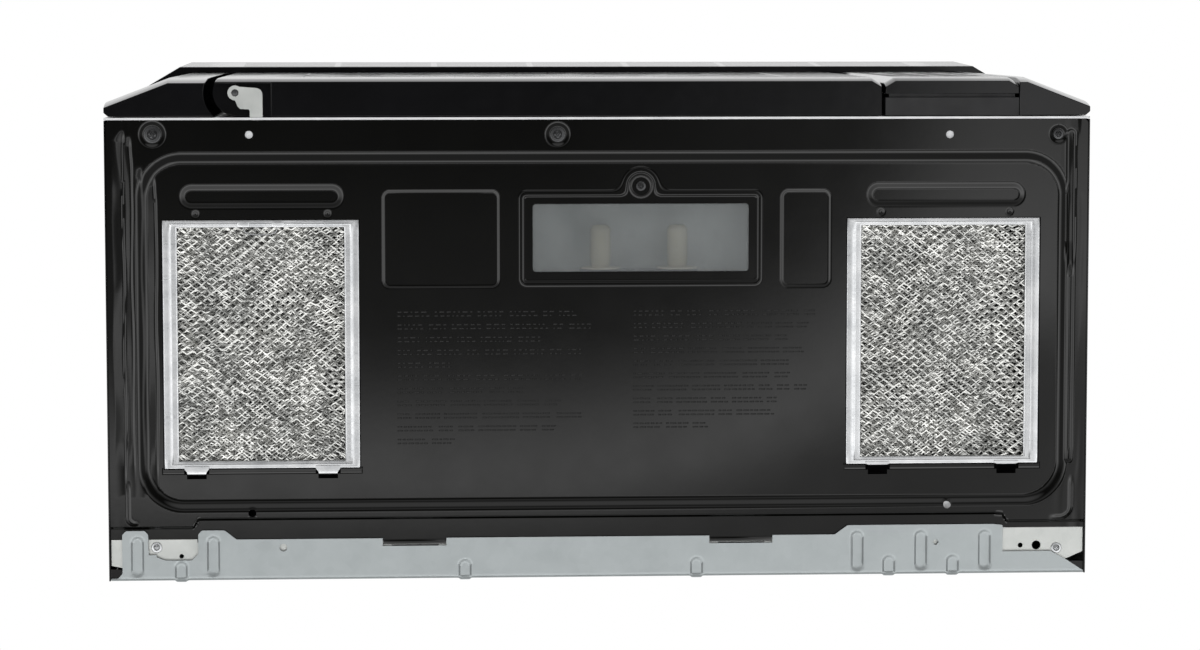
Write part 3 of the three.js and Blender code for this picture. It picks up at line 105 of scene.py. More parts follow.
# One node with its settings and links. A stop is a place with a hex colour, or with a plain strength.
def addNode(tree, kind, links=None, stops=None, **settings):
    node = tree.nodes.new("ShaderNode" + kind)
    for key, value in settings.items():
        setattr(node, key, value)
    for key, value in (links or {}).items():
        if isinstance(value, bpy.types.NodeSocket):
            tree.links.new(value, node.inputs[key])
        else:
            node.inputs[key].default_value = value
    if stops:
        elements = node.color_ramp.elements
        while len(elements) < len(stops):
            elements.new(0.5)
        for element, (place, tone) in zip(elements, stops):
            element.position = place
            element.color = linear(tone) if isinstance(tone, str) else (tone, tone, tone, 1)
    return node


def startMaterial(name, **sockets):
    material = bpy.data.materials.new(name)
    material.use_nodes = True
    tree = material.node_tree
    shader = tree.nodes["Principled BSDF"]
    for key, value in sockets.items():
        shader.inputs[key.replace("_", " ").title().replace("Ior", "IOR")].default_value = value
    return material, tree, shader, addNode(tree, "TexCoord").outputs["Object"]


# Light and floor, in metres and watts
studio = {
    "fill": 0.62,
    "lamps": [
        # place, size, watts
        ((-0.9, -1.3, -1.9), 1.5, 17),
        ((0.9, 0.9, -1.7), 1.3, 7),
        ((-1.0, -1.8, 2.0), 1.8, 30),
        ((1.3, 1.2, 2.2), 1.8, 22),
    ],
    "aim": (0, 0, 0.15),
    # the dark patch that flat surfaces mirror: its middle, its size to the right and to the wall, and how
    # many sizes out each way still counts
    "patch": ((0.025, 0.0), (0.128, 0.104), (1.06, 1.5)),
    # strengths mirrored by surfaces: from the middle of the patch out over its edge, two thirds along
    "mirrored": ((0.0, 0.05), (0.23, 0.07), (0.4, 0.17), (0.59, 0.2), (0.667, 0.5), (0.713, 0.85),
                 (0.767, 1.2), (0.833, 1.6), (0.887, 1.3), (0.905, 0.6), (0.95, 0.5)),
    # and by height of the direction, from straight down to level
    "around": ((0.0, 0.8), (0.02, 0.8), (0.05, 1.4), (0.1, 2.6), (0.17, 1.7), (0.3, 1.1), (0.42, 0.3),
               (0.8, 0.25), (1.0, 0.8)),
    # shares of that light from level in front to level at the wall
    "lengthwise": ((0.0, 2.8), (0.06, 2.8), (0.125, 0.15), (0.375, 0.25), (0.55, 1.0)),
    "brightest": 2.8,
    # heights of the direction between which the patch gives way to that light
    "patchEnd": (0.02, 0.035),
    # a large soft box high up over the front: strength, and the heights and depths over which it comes in
    "high": (1.5, (0.5, 0.75), (0.3, -0.3)),
    # half a side and height of the floor
    "floor": (6.0, -0.001),
}


def addLamp(place, size, watts):
    data = bpy.data.lights.new("softBox", "AREA")
    data.size = size
    data.energy = watts
    lamp = bpy.data.objects.new("softBox", data)
    bpy.context.scene.collection.objects.link(lamp)
    lamp.visible_glossy = False
    aim = Vector(studio["aim"]) - Vector(place)
    lamp.matrix_world = Matrix.Translation(place) @ aim.to_track_quat("-Z", "Y").to_matrix().to_4x4()


# White behind the object. Mirrored straight down it is dim, as a studio is where nobody put a lamp.
def setWorld():
    world = bpy.data.worlds.new("studioWorld")
    bpy.context.scene.world = world
    world.use_nodes = True
    tree = world.node_tree
    tree.nodes.clear()
    brightest = studio["brightest"]
    stops = {key: [(place, level / brightest) for place, level in studio[key]]
             for key in ("mirrored", "around", "lengthwise")}
    towards = addNode(tree, "TexCoord").outputs["Generated"]
    parts = addNode(tree, "SeparateXYZ", {0: towards}).outputs
    below = addNode(tree, "MapRange", {"Value": parts["Z"], "From Min": -1.0, "From Max": 0.0}).outputs[0]
    # the patch: how many of its sizes a direction lies out, and the strength there
    aside = [addNode(tree, "MapRange", {"Value": parts[axis], "From Min": start,
                                        "From Max": start + size * most, "To Max": most}).outputs[0]
             for axis, start, size, most in zip("XY", *studio["patch"])]
    across = addNode(tree, "CombineXYZ", {"X": aside[0], "Y": aside[1]})
    outwards = addNode(tree, "VectorMath", {0: across.outputs[0]}, operation="LENGTH").outputs["Value"]
    along = addNode(tree, "Math", {0: outwards, 1: studio["patch"][2][1]}, operation="DIVIDE").outputs[0]
    patch = addNode(tree, "ValToRGB", {0: along}, stops=stops["mirrored"]).outputs[0]
    # the light round it, by height and by depth
    ring = addNode(tree, "ValToRGB", {0: below}, stops=stops["around"]).outputs[0]
    wallwards = addNode(tree, "MapRange", {"Value": parts["Y"], "From Min": -1.0}).outputs[0]
    share = addNode(tree, "ValToRGB", {0: wallwards}, stops=stops["lengthwise"]).outputs[0]
    for factor in (share, brightest):
        ring = addNode(tree, "Math", {0: ring, 1: factor}, operation="MULTIPLY").outputs[0]
    low, high = studio["patchEnd"]
    outside = addNode(tree, "MapRange", {"Value": below, "From Min": low, "From Max": high}).outputs[0]
    blended = addNode(tree, "Mix", {0: outside, 2: patch, 3: ring}, data_type="FLOAT").outputs[0]
    scaled = addNode(tree, "Math", {0: blended, 1: brightest}, operation="MULTIPLY").outputs[0]
    # the soft box high up
    level, heights, depths = studio["high"]
    upwards = addNode(tree, "MapRange", {"Value": parts["Z"], "From Min": heights[0], "From Max": heights[1],
                                         "To Max": level}).outputs[0]
    frontwards = addNode(tree, "MapRange", {"Value": parts["Y"], "From Min": depths[0],
                                            "From Max": depths[1]}).outputs[0]
    softBox = addNode(tree, "Math", {0: upwards, 1: frontwards}, operation="MULTIPLY").outputs[0]
    mirrored = addNode(tree, "Math", {0: scaled, 1: softBox}, operation="MAXIMUM").outputs[0]
    path = addNode(tree, "LightPath").outputs
    seen = addNode(tree, "Math", {0: path["Is Camera Ray"], 1: path["Is Transmission Ray"]},
                   operation="MAXIMUM").outputs[0]
    lit = addNode(tree, "Mix", {0: path["Is Glossy Ray"], 2: studio["fill"], 3: mirrored},
                  data_type="FLOAT").outputs[0]
    strength = addNode(tree, "Mix", {0: seen, 2: lit, 3: 1.0}, data_type="FLOAT").outputs[0]
    background = addNode(tree, "Background", {"Color": (1, 1, 1, 1), "Strength": strength})
    addNode(tree, "OutputWorld", {"Surface": background.outputs[0]})


# A pale floor that only shows from above, so that the underside can be seen from below.
def addFloor():
    half, z = studio["floor"]
    corners = [(-half, -half, z), (half, -half, z), (half, half, z), (-half, half, z)]
    sheet = bpy.data.meshes.new("floor")
    sheet.from_pydata(corners, [], [(0, 1, 2, 3)])
    floor = bpy.data.objects.new("floor", sheet)
    bpy.context.scene.collection.objects.link(floor)
    material, tree, shader, place = startMaterial("paleStudioFloor", roughness=0.8)
    shader.inputs["Base Color"].default_value = linear("#E9E9E7")
    clear = addNode(tree, "BsdfTransparent")
    below = addNode(tree, "NewGeometry").outputs["Backfacing"]
    both = addNode(tree, "MixShader", {0: below, 1: shader.outputs[0], 2: clear.outputs[0]})
    tree.links.new(both.outputs[0], tree.nodes["Material Output"].inputs["Surface"])
    sheet.materials.append(material)
    for ray in ("diffuse", "glossy", "transmission", "shadow"):
        setattr(floor, "visible_" + ray, False)


for place, size, watts in studio["lamps"]:
    addLamp(place, size, watts)
setWorld()
addFloor()
bpy.context.scene.view_settings.view_transform = "Standard"
print("studio set")


# Finishes. Soft clouds about size millimetres across, drawn out where lean is under 1.
def clouds(tree, place, size, detail=2.0, lean=None):
    if lean:
        place = addNode(tree, "Mapping", {"Vector": place, "Scale": lean}).outputs[0]
    return addNode(tree, "TexNoise", {"Vector": place, "Scale": 1000 / size, "Detail": detail,
                                      "Roughness": 0.5}).outputs[0]


# The colour follows the tone from its first place to its second. The roughness follows the grain between its
# two values. The surface leans as if it stood depth millimetres higher where the relief is 1. Each of the
# three is the size, detail and lean of clouds, or a pattern made before.
def finish(started, tone, colours, grain, rough, relief, depth, places=(0.3, 0.7)):
    material, tree, shader, place = started
    tone, grain, relief = [clouds(tree, place, *pattern) if isinstance(pattern, tuple) else pattern
                           for pattern in (tone, grain, relief)]
    if tone:
        colour = addNode(tree, "ValToRGB", {0: tone}, stops=list(zip(places, colours))).outputs[0]
        tree.links.new(colour, shader.inputs["Base Color"])
    if grain:
        spread = addNode(tree, "MapRange", {"Value": grain, "From Min": 0.3, "From Max": 0.7,
                                            "To Min": rough[0], "To Max": rough[1]}).outputs[0]
        tree.links.new(spread, shader.inputs["Roughness"])
    leaning = addNode(tree, "Bump", {"Height": relief, "Distance": depth / 1000, "Strength": 1.0}).outputs[0]
    tree.links.new(leaning, shader.inputs["Normal"])
    return material


# Baked gloss paint on pressed steel: nearly black, with a faint orange peel some 5 mm across.
def glossPaint(name, dark, light, rough):
    return finish(startMaterial(name, ior=1.5), (90.0, 3.0), (dark, light),
                  (30.0, 4.0), (rough * 0.85, rough * 1.2), (5.0, 1.0), 0.0025)


# Hot dipped zinc on rolled steel: bluish grey, with a soft spangle 7 mm across and fine rolling lines.
def galvanised(name, dark, light, rough):
    material, tree, shader, place = startMaterial(name, metallic=0.75)
    cells = addNode(tree, "TexVoronoi", {"Vector": place, "Scale": 1000 / 7.0, "Randomness": 1.0})
    spangle = addNode(tree, "SeparateColor", {0: cells.outputs["Color"]}).outputs[0]
    mixed = addNode(tree, "Mix", {0: 0.86, 2: spangle, 3: clouds(tree, place, 25.0, 4.0)},
                    data_type="FLOAT").outputs[0]
    return finish((material, tree, shader, place), mixed, (dark, light),
                  mixed, (rough * 0.9, rough * 1.15), (1.6, 3.0, (0.04, 1.0, 1.0)), 0.02)


# Mill finish aluminium or plated steel: bright, with rolling lines about a millimetre apart.
def brightMetal(name, dark, light, rough, metallic=1.0, grain=1.2, lean=(0.06, 1.0, 1.0), depth=0.015):
    lines = (grain, 3.0, lean)
    return finish(startMaterial(name, metallic=metallic), (18.0, 4.0), (dark, light),
                  lines, (rough * 0.85, rough * 1.2), lines, depth)


# Injection moulded ABS: even colour, a spark eroded grain where grit is the size of its grains.
def moulded(name, dark, light, rough, grit, depth):
    return finish(startMaterial(name, ior=1.5), (60.0, 3.0), (dark, light),
                  (12.0, 3.0), (rough * 0.88, rough * 1.12), (grit,), depth)


# Acrylic enamel of the oven walls: warm light grey with fine darker speckles 1.5 mm apart.
def ovenEnamel(name):
    material, tree, shader, place = startMaterial(name, ior=1.5)
    specks = addNode(tree, "TexVoronoi", {"Vector": place, "Scale": 1000 / 1.5}).outputs["Distance"]
    return finish((material, tree, shader, place), specks, ("#8E8F8C", "#C9CAC6"),
                  (20.0,), (0.3, 0.42), (3.0,), 0.02, places=(0.12, 0.3))


# Acid etched lamp glass: grey and cloudy, what stands behind it shows as soft shapes.
def frostedGlass(name, dark, light):
    return finish(startMaterial(name, roughness=0.2, ior=1.12, transmission_weight=0.82), (60.0, 1.0),
                  (dark, light), None, None, (0.8,), 0.004)


# Pressed or float glass: clear, with faint waves some 60 mm long unless said otherwise.
def clearGlass(name, hexCode, rough, wave=60.0, depth=0.05):
    started = startMaterial(name, ior=1.46, transmission_weight=1.0, base_color=linear(hexCode))
    return finish(started, None, None, (30.0,), (rough * 0.7, rough * 1.3), (wave,), depth)


# Glass fibre board under green lacquer, with paler tracks 2.5 mm apart.
def printedBoard(name):
    material, tree, shader, place = startMaterial(name, ior=1.5, roughness=0.35)
    tracks = addNode(tree, "TexBrick", {"Vector": place, "Scale": 1000 / 2.5, "Mortar Size": 0.12,
                                        "Color1": linear("#1F5B33"), "Color2": linear("#256A3B"),
                                        "Mortar": linear("#5E8F55")})
    tree.links.new(tracks.outputs["Color"], shader.inputs["Base Color"])
    return material


# pitch and radius of the holes, width over which the painted shade in them comes in at the rim, its near
# black, middle and half size of the window
screen = {"pitch": 2.6, "radius": 0.85, "rim": 0.06, "hole": "#040404",
          "window": (("X", -40.0, 187.0), ("Z", 172.5, 100.0))}


# The door's inner panel: oven enamel, with rows of round holes, every other row shifted by half a pitch. The
# holes
# are not cut: they are painted near black, a painted shade for the dark seen through them. A place lies in a
# hole where the nearer of the two grids' middles is within the radius.
def perforatedEnamel():
    material = ovenEnamel("perforatedOvenEnamel")
    tree = material.node_tree
    shader = tree.nodes["Principled BSDF"]
    place = addNode(tree, "TexCoord").outputs["Object"]
    pitch = screen["pitch"] / 1000
    cell = (pitch, 1.0, pitch * math.sqrt(3))
    flat = (cell[0], 0, cell[2])
    reach = []
    for shift in (0.0, 0.5):
        share = addNode(tree, "VectorMath", {0: place, 1: cell}, operation="DIVIDE").outputs[0]
        share = addNode(tree, "VectorMath", {0: share, 1: (shift, 0, shift)}, operation="ADD").outputs[0]
        share = addNode(tree, "VectorMath", {0: share}, operation="FRACTION").outputs[0]
        share = addNode(tree, "VectorMath", {0: share, 1: (0.5, 0.5, 0.5)}, operation="SUBTRACT").outputs[0]
        share = addNode(tree, "VectorMath", {0: share, 1: flat}, operation="MULTIPLY").outputs[0]
        reach.append(addNode(tree, "VectorMath", {0: share}, operation="LENGTH").outputs["Value"])
    nearest = addNode(tree, "Math", {0: reach[0], 1: reach[1]}, operation="MINIMUM").outputs[0]
    rim = [(screen["radius"] + side * screen["rim"] / 2) / 1000 for side in (1, -1)]
    hole = addNode(tree, "MapRange", {"Value": nearest, "From Min": rim[0], "From Max": rim[1]}).outputs[0]
    parts = addNode(tree, "SeparateXYZ", {0: place}).outputs
    for axis, middle, half in screen["window"]:
        away = addNode(tree, "Math", {0: parts[axis], 1: middle / 1000}, operation="SUBTRACT").outputs[0]
        away = addNode(tree, "Math", {0: away}, operation="ABSOLUTE").outputs[0]
        within = addNode(tree, "Math", {0: away, 1: half / 1000}, operation="LESS_THAN").outputs[0]
        hole = addNode(tree, "Math", {0: hole, 1: within}, operation="MULTIPLY").outputs[0]
    # painted shade: near black takes the enamel's place inside the holes
    enamel = shader.inputs["Base Color"].links[0].from_socket
    mixed = addNode(tree, "Mix", {0: hole, 6: enamel, 7: linear(screen["hole"])}, data_type="RGBA").outputs[2]
    tree.links.new(mixed, shader.inputs["Base Color"])
    return material


finishes = {
    "black_enamel": glossPaint("glossPaintOnSteel", "#050504", "#080807", 0.065),
    "zinc_sheet": galvanised("galvanisedSheet", "#A5ABAC", "#B0B6B7", 0.42),
    "zinc_layer": galvanised("brightGalvanisedSheet", "#BEC1BE", "#D0D2CF", 0.4),
    "light_frame": brightMetal("paintedFrameEdge", "#D9DADC", "#ECEDEE", 0.4, metallic=0.2),
    "filter_aluminium": brightMetal("millFinishAluminium", "#C3C5C7", "#E0E1E2", 0.32),
    "filter_mesh": brightMetal("expandedAluminium", "#C2C3C0", "#F2F2EE", 0.34, metallic=0.85, grain=1.4,
                               lean=(1, 1, 1), depth=0.08),
    "fascia_black": moulded("glossBlackPlastic", "#070708", "#0C0C0E", 0.1, 5.0, 0.006),
    "matt_black": moulded("mattBlackPlastic", "#151516", "#1C1C1E", 0.55, 0.7, 0.03),
    "grommet_rubber": moulded("mouldedRubber", "#121212", "#1A1A1A", 0.7, 1.2, 0.02),
    "door_glass": clearGlass("smokedDoorGlass", "#54585A", 0.1, 5.0, 0.006),
    "frosted_lens": frostedGlass("etchedLampGlass", "#B0B3B4", "#C0C3C4"),
    "lamp_glass": moulded("opalLampGlass", "#D8CBAA", "#E9DFC6", 0.25, 6.0, 0.01),
    "tray_glass": clearGlass("pressedTrayGlass", "#F3FAF8", 0.03),
    "cavity_enamel": ovenEnamel("acrylicOvenEnamel"),
    "light_plastic": moulded("whitePolypropylene", "#DDDDDA", "#E9E9E6", 0.4, 1.0, 0.015),
    "lamination_steel": brightMetal("laminationSteel", "#5F6164", "#84878A", 0.45, grain=0.8,
                                    lean=(1.0, 1.0, 0.05), depth=0.05),
    "capacitor_can": brightMetal("drawnAluminiumCan", "#B9BBBD", "#D0D2D3", 0.35),
    "circuit_board": printedBoard("lacquerOnGlassFibre"),
    "screw_zinc": brightMetal("blackZincScrew", "#3A3A3B", "#565758", 0.3, metallic=0.8, grain=0.6,
                              lean=(1, 1, 1)),
}
# pieces whose finish is not that of their slot
special = {
    "door_choke_panel": perforatedEnamel(),
    "lamp_socket_bar": moulded("greyPhenolic", "#6F7376", "#7C8083", 0.5, 1.5, 0.01),
    "socket_rim": moulded("glazedPorcelain", "#F4E6C6", "#FFF6DE", 0.2, 4.0, 0.004),
    "clock": moulded("clockSegment", "#39584C", "#44685A", 0.4, 2.0, 0.002),
}
finishOf = {part["node"]: part["material_slot"] for part in frame["record"]["subparts"]}
# nodes in plain sight, with the width that rounds their edges
rounded = {"top_grille": 0.5, "door_open_button": 0.5, "cord_grommet": 0.5, "door_choke_panel": 0.5,
           "outer_case": 0.3, "front_frame": 0.3, "display_window": 0.3, "latch_hooks": 0.3,
           "equipment_shelf": 0.3, "open_lever": 0.3, "turntable_coupler": 0.3,
           "hinge_bracket_lower": 0.25, "hinge_bracket_upper": 0.25}
nodeEdges = {"merge": 0.02, "sharp": 32.0, "bevelFrom": 40.0}


# A modifier that joins a CAD node's loose triangles and smooths all but its sharp edges.
def softEdges():
    group = bpy.data.node_groups.new("softEdges", "GeometryNodeTree")
    group.interface.new_socket("Geometry", in_out="INPUT", socket_type="NodeSocketGeometry")
    group.interface.new_socket("Geometry", in_out="OUTPUT", socket_type="NodeSocketGeometry")
    start, end, merged, smooth, angle, steep, sharp = [group.nodes.new(kind) for kind in (
        "NodeGroupInput", "NodeGroupOutput", "GeometryNodeMergeByDistance", "GeometryNodeSetShadeSmooth",
        "GeometryNodeInputMeshEdgeAngle", "FunctionNodeCompare", "GeometryNodeSetShadeSmooth")]
    merged.inputs["Distance"].default_value = nodeEdges["merge"] / 1000
    steep.inputs["B"].default_value = math.radians(nodeEdges["sharp"])
    sharp.domain = "EDGE"
    sharp.inputs["Shade Smooth"].default_value = False
    for giver, given, taker, taken in (
            (start, 0, merged, "Geometry"), (merged, 0, smooth, "Geometry"), (smooth, 0, sharp, "Geometry"),
            (angle, "Unsigned Angle", steep, "A"), (steep, 0, sharp, "Selection"), (sharp, 0, end, 0)):
        group.links.new(giver.outputs[given], taker.inputs[taken])
    return group


def roundEdges(piece, width):
    edge = piece.modifiers.new("edge", "BEVEL")
    edge.width = width / 1000
    edge.segments = 2
    edge.limit_method = "ANGLE"
    edge.angle_limit = math.radians(nodeEdges["bevelFrom"])


# Each CAD node gets its finish and smooth faces, and those in plain sight also get round edges.
def dressNodes():
    edgeGroup = softEdges()
    for name, node in nodes.items():
        node.data.materials.clear()
        node.data.materials.append(special.get(name, finishes[finishOf[name]]))
        node.modifiers.new("softEdges", "NODES").node_group = edgeGroup
        if name in rounded:
            roundEdges(node, rounded[name])


dressNodes()
print("CAD nodes finished")


# Surfaces from numpy grids. Open edges are kept sharp, so that a wall's rim doesn't shade its faces.
def makePiece(name, points, faces, slotName, body="chassis", replaced=(), smooth=32.0, material=None, wall=0):
    surface = bpy.data.meshes.new(name)
    surface.from_pydata((np.asarray(points) * 0.001).tolist(), [], [list(map(int, face)) for face in faces])
    surface.shade_smooth()
    surface.set_sharp_from_angle(angle=math.radians(smooth))
    edgeOf = np.zeros(len(surface.loops), int)
    surface.loops.foreach_get("edge_index", edgeOf)
    for edge in np.flatnonzero(np.bincount(edgeOf) == 1).tolist():
        surface.edges[edge].use_edge_sharp = True
    piece = placePiece(name, surface, slotName, body, replaced, material)
    if wall:
        sheet = piece.modifiers.new("wall", "SOLIDIFY")
        sheet.thickness = wall / 1000
        sheet.offset = -1
    return piece


def placePiece(name, surface, slotName, body, replaced, material=None):
    surface.materials.append(material or finishes[slotName])
    piece = bpy.data.objects.new(name, surface)
    bpy.context.scene.collection.objects.link(piece)
    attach(piece, body)
    if replaced:
        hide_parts(*replaced)
    return piece


# Quads over a grid of points stored row by row, each wound from (r, c) to (r, c+1), (r+1, c+1), (r+1, c).
def gridQuads(rows, columns, closedRows=False, closedColumns=False):
    r = np.arange(rows if closedRows else rows - 1)
    c = np.arange(columns if closedColumns else columns - 1)
    r, c = [side.ravel() for side in np.meshgrid(r, c, indexing="ij")]
    up, across = (r + 1) % rows, (c + 1) % columns
    return np.stack([r * columns + c, r * columns + across, up * columns + across, up * columns + c], axis=1)


# Places from low to high, fine apart inside a zone or as far as the zone says, at most coarse apart
# elsewhere, through each exact one.
def gridLines(low, high, coarse, fine, zones, exact=()):
    zones = [(*zone, fine) if len(zone) == 2 else zone for zone in zones]
    sides = [side for zone in zones for side in zone[:2]] + list(exact)
    stops = sorted({low, high, *[side for side in sides if low < side < high]})
    lines = [low]
    for a, b in zip(stops, stops[1:]):
        middle = (a + b) / 2
        step = min([coarse] + [zone[2] for zone in zones if zone[0] <= middle <= zone[1]])
        count = max(1, math.ceil((b - a) / step - 1e-6))
        lines += np.linspace(a, b, count + 1)[1:].tolist()
    return np.array(lines)


# Each corner moves so that the sides marked as rounded lie the inset further in: where the two moved sides
# cross, or along their shared normal when they are nearly in line.
def shrunk(plan, rounded, inset):
    before, after = plan - np.roll(plan, 1, axis=0), np.roll(plan, -1, axis=0) - plan
    normals = [np.stack([run[:, 1], -run[:, 0]], axis=1) / np.hypot(*run.T)[:, None]
               for run in (before, after)]
    moves = [np.roll(rounded, 1) * inset, rounded * inset]
    cross = normals[0][:, 0] * normals[1][:, 1] - normals[0][:, 1] * normals[1][:, 0]
    sharp = np.abs(cross) > 0.05
    safe = np.where(sharp, cross, 1)
    x = (moves[0] * normals[1][:, 1] - moves[1] * normals[0][:, 1]) / safe
    y = (moves[1] * normals[0][:, 0] - moves[0] * normals[1][:, 0]) / safe
    straight = (normals[0] * moves[0][:, None] + normals[1] * moves[1][:, None]) / 2
    return plan - np.where(sharp[:, None], np.stack([x, y], axis=1), straight)


# Heights with their insets: the inset is the square of what is left of the height, times the reach.
def edgeLevels(low, high, reach, height, top=True):
    t = np.linspace(0, 1, 7)
    rise = [(low + height * share, reach * (1 - share) ** 2) for share in t]
    fall = [(high - height * share, reach * (1 - share) ** 2) for share in t[::-1]] if top else [(high, 0.0)]
    return rise + fall


# The plan, anticlockwise from above, repeated at each level with its inset, and closed at both ends. A level
# without an inset is a height alone.
def carried(plan, rounded, levels, upright="z"):
    plan = np.array(plan, float)
    rounded = np.zeros(len(plan)) if rounded is None else np.array(rounded, float)
    levels = [level if isinstance(level, tuple) else (level, 0.0) for level in levels]
    rings = [np.column_stack([shrunk(plan, rounded, inset), np.full(len(plan), z)]) for z, inset in levels]
    points = np.concatenate(rings)
    count = len(plan)
    faces = gridQuads(len(levels), count, closedColumns=True).tolist()
    faces += [list(range(count))[::-1], list(range(len(points) - count, len(points)))]
    if upright == "y":
        points = points[:, [0, 2, 1]]
        faces = [face[::-1] for face in faces]
    return points, faces


def boxPlan(rangeX, rangeY):
    return [(rangeX[0], rangeY[0]), (rangeX[1], rangeY[0]), (rangeX[1], rangeY[1]), (rangeX[0], rangeY[1])]


# A profile of radius and distance along the axis, carried round the axis.
def turnedSurface(profile, sides, centre, axis):
    radius, along = np.array(profile, float).T
    angle = np.linspace(0, 2 * math.pi, sides, endpoint=False)
    a = radius[:, None] * np.cos(angle)
    b = radius[:, None] * np.sin(angle)
    c = np.repeat(along[:, None], sides, axis=1)
    points = np.stack((b, c, a) if axis == "y" else (a, b, c), axis=2).reshape(-1, 3) + np.array(centre)
    return points, gridQuads(len(radius), sides, closedColumns=True)


# Points and faces of several parts put one after the other, each part's faces moved past the points before.
def joined(parts):
    starts = np.cumsum([0] + [len(points) for points, faces in parts])
    return (np.concatenate([points for points, faces in parts]),
            np.concatenate([faces + start for (points, faces), start in zip(parts, starts)]))


# a range with more on both sides, or with different lengths on its low and high side
def around(low, high, more, above=None):
    return (low - more, high + (more if above is None else above))


def gridPoints(x, y, z):
    return np.stack([x.ravel(), y.ravel(), z.ravel()], axis=1)


# Distance outside a rectangle with rounded corners, and minus the distance inside it.
def slotDistance(x, y, rangeX, rangeY, radius):
    aside = np.abs(x - sum(rangeX) / 2) - (rangeX[1] - rangeX[0]) / 2 + radius
    along = np.abs(y - sum(rangeY) / 2) - (rangeY[1] - rangeY[0]) / 2 + radius
    outside = np.hypot(np.maximum(aside, 0), np.maximum(along, 0))
    return outside + np.minimum(np.maximum(aside, along), 0) - radius


# 1 inside, 0 beyond width, straight between, with the soft share of the width rounded at both ends.
def slope(distance, width, soft=0.35):
    def eased(u):
        return np.where(u > soft, u, np.where(u < -soft, 0, (u + soft) ** 2 / (4 * soft)))

    t = np.clip(1 - distance / width, -soft, 1 + soft)
    return np.clip(eased(t) - eased(t - 1), 0, 1)


# from 0 at start to 1 at end, and level beyond both
def fade(value, start, end):
    return np.clip((value - start) / (end - start), 0, 1)


# Drops the points that no face uses.
def keepFaces(points, faces):
    used, inverse = np.unique(faces, return_inverse=True)
    return points[used], inverse.reshape(faces.shape)


# Points near a circle move on to it, and the faces inside it go.
def punch(points, faces, centre, radius):
    offset = points[:, :2] - np.array(centre)
    far = np.hypot(offset[:, 0], offset[:, 1])
    near = (far > radius * 0.72) & (far < radius * 1.3)
    points[near, :2] = np.array(centre) + offset[near] * (radius / far[near])[:, None]
    far[near] = radius
    inside = (far[faces] <= radius + 1e-6).all(axis=1)
    return points, faces[~inside]


# Base pan, and the places of the filters and the lamp in it
fieldX = (28.9 - bayX, bayX - 20.5)
fieldY = (behind(33.4), ahead(61.5))
filterX = (fieldX[0] + 87.9, fieldX[1] - 90.9)
grease = {"width": 151.0, "length": 192.0, "front": behind(78.5), "end": behind(78.5 + 192.0), "z": 4.0,
          "fit": 0.4, "tabX": (-50.5, 50.5)}
lampX = filterX[1] - grease["width"] / 2 - 64.9 - 95.0
lamp = {"halfWidth": 95.0, "rangeY": (behind(55.8), behind(131.8)), "lensX": (lampX - 83.5, lampX + 83.5),
        "lensY": (behind(66.9), behind(119.2)), "lensMargin": 3.3, "screwY": behind(53.2), "setBack": 3.8}
pan = {
    "sheet": 1.0, "front": bayY, "rear": ahead(30.8), "corner": 3.5, "rise": 4.0,
    "beadX": ((filterX[0] - 60.1, filterX[0] + 62.1), (filterX[1] - 58.2, filterX[1] + 61.8)),
    "beadY": (behind(55.3), behind(65.6)), "beadEnd": 2.4,
    "dimpleX": (filterX[0] - 49.6, filterX[0] + 51.4, filterX[1] - 48.8, filterX[1] + 51.4),
    "dimpleY": behind(73.8),
    "pads": (((filterX[0] + 94.4, lampX - 110.3), (behind(57.1), behind(130.3))),
             ((lampX + 109.8, filterX[1] - 89.2), (behind(57.4), behind(130.7)))),
    "sideBeads": (((bayX - 15.6, bayX - 10.4), (behind(11), behind(111))),
                  ((bayX - 14.4, bayX - 11), (behind(118), ahead(90)))),
    # side, distances from the side and from the wall, radius, reach from the side
    "hooks": ((-1, 13.8, 46.0, 5.0, 22.0), (1, 10.5, 45.2, 9.0, 27.0)), "hookLine": (0.5, 0.6, 1.0),
    # where each fold along the left rim starts and ends from the side, and starts from the front; how much it
    # rises for its width, and the width of its drop; its line's waves: height, length and turn, of which the
    # second fades out; and distances over which folds come in from the front and end before the wall
    "folds": ((3.6, 12.1, 10.0), (13.3, 18.6, 14.0), (19.8, 25.8, 38.0), (30.0, 36.4, 44.0)),
    "foldRise": (0.11, 1.3), "foldWaves": ((0.5, 17.0, 1), (0.4, 6.3, 2), 60.0),
    "foldEnds": (8.0, (66.0, 102.0)),
    # place across and along, radius of the washer's seat
    "screws": ((35.2 - bayX, behind(12.8), 7.0), (-33.0, behind(13.4), 6.2),
               (bayX - 22.8, behind(13.8), 4.2)),
    "holes": ((108.8 - bayX, behind(13)), (bayX - 107.7, behind(13.9)), (108.8 - bayX, ahead(53.2)),
              (bayX - 107.7, ahead(55.8))), "holeRadius": 3.0,
    # the step up behind the field: its place between the two ends and at them, width and rise
    "joggle": (ahead(49.2), ahead(42.8), 2.2, 2.5), "joggleX": (66.6 - bayX, bayX - 63.6),
    # where the sheet ends beside the joggle, on the left and on the right
    "rearEnds": (ahead(33.3), ahead(37.3)),
    # the lip behind each filter lies lower, so that the frame can slide over it: drop, inner and outer half
    # width beyond the filter's, and how far it reaches behind it
    "lip": (1.1, 0.8, 1.7, 4.4),
    # notches cut for the tabs: from and to behind the filter, half width
    "notches": ((0.3, 4.4, 9.65), (4.4, 7.9, 7.55)),
    # steps of the grid: fine, in the field's corners, elsewhere across and along
    "grid": (0.95, 1.8, 12.0, 10.0),
}


def discAt(x, y, radius):
    return (x - radius, x + radius), (y - radius, y + radius), radius


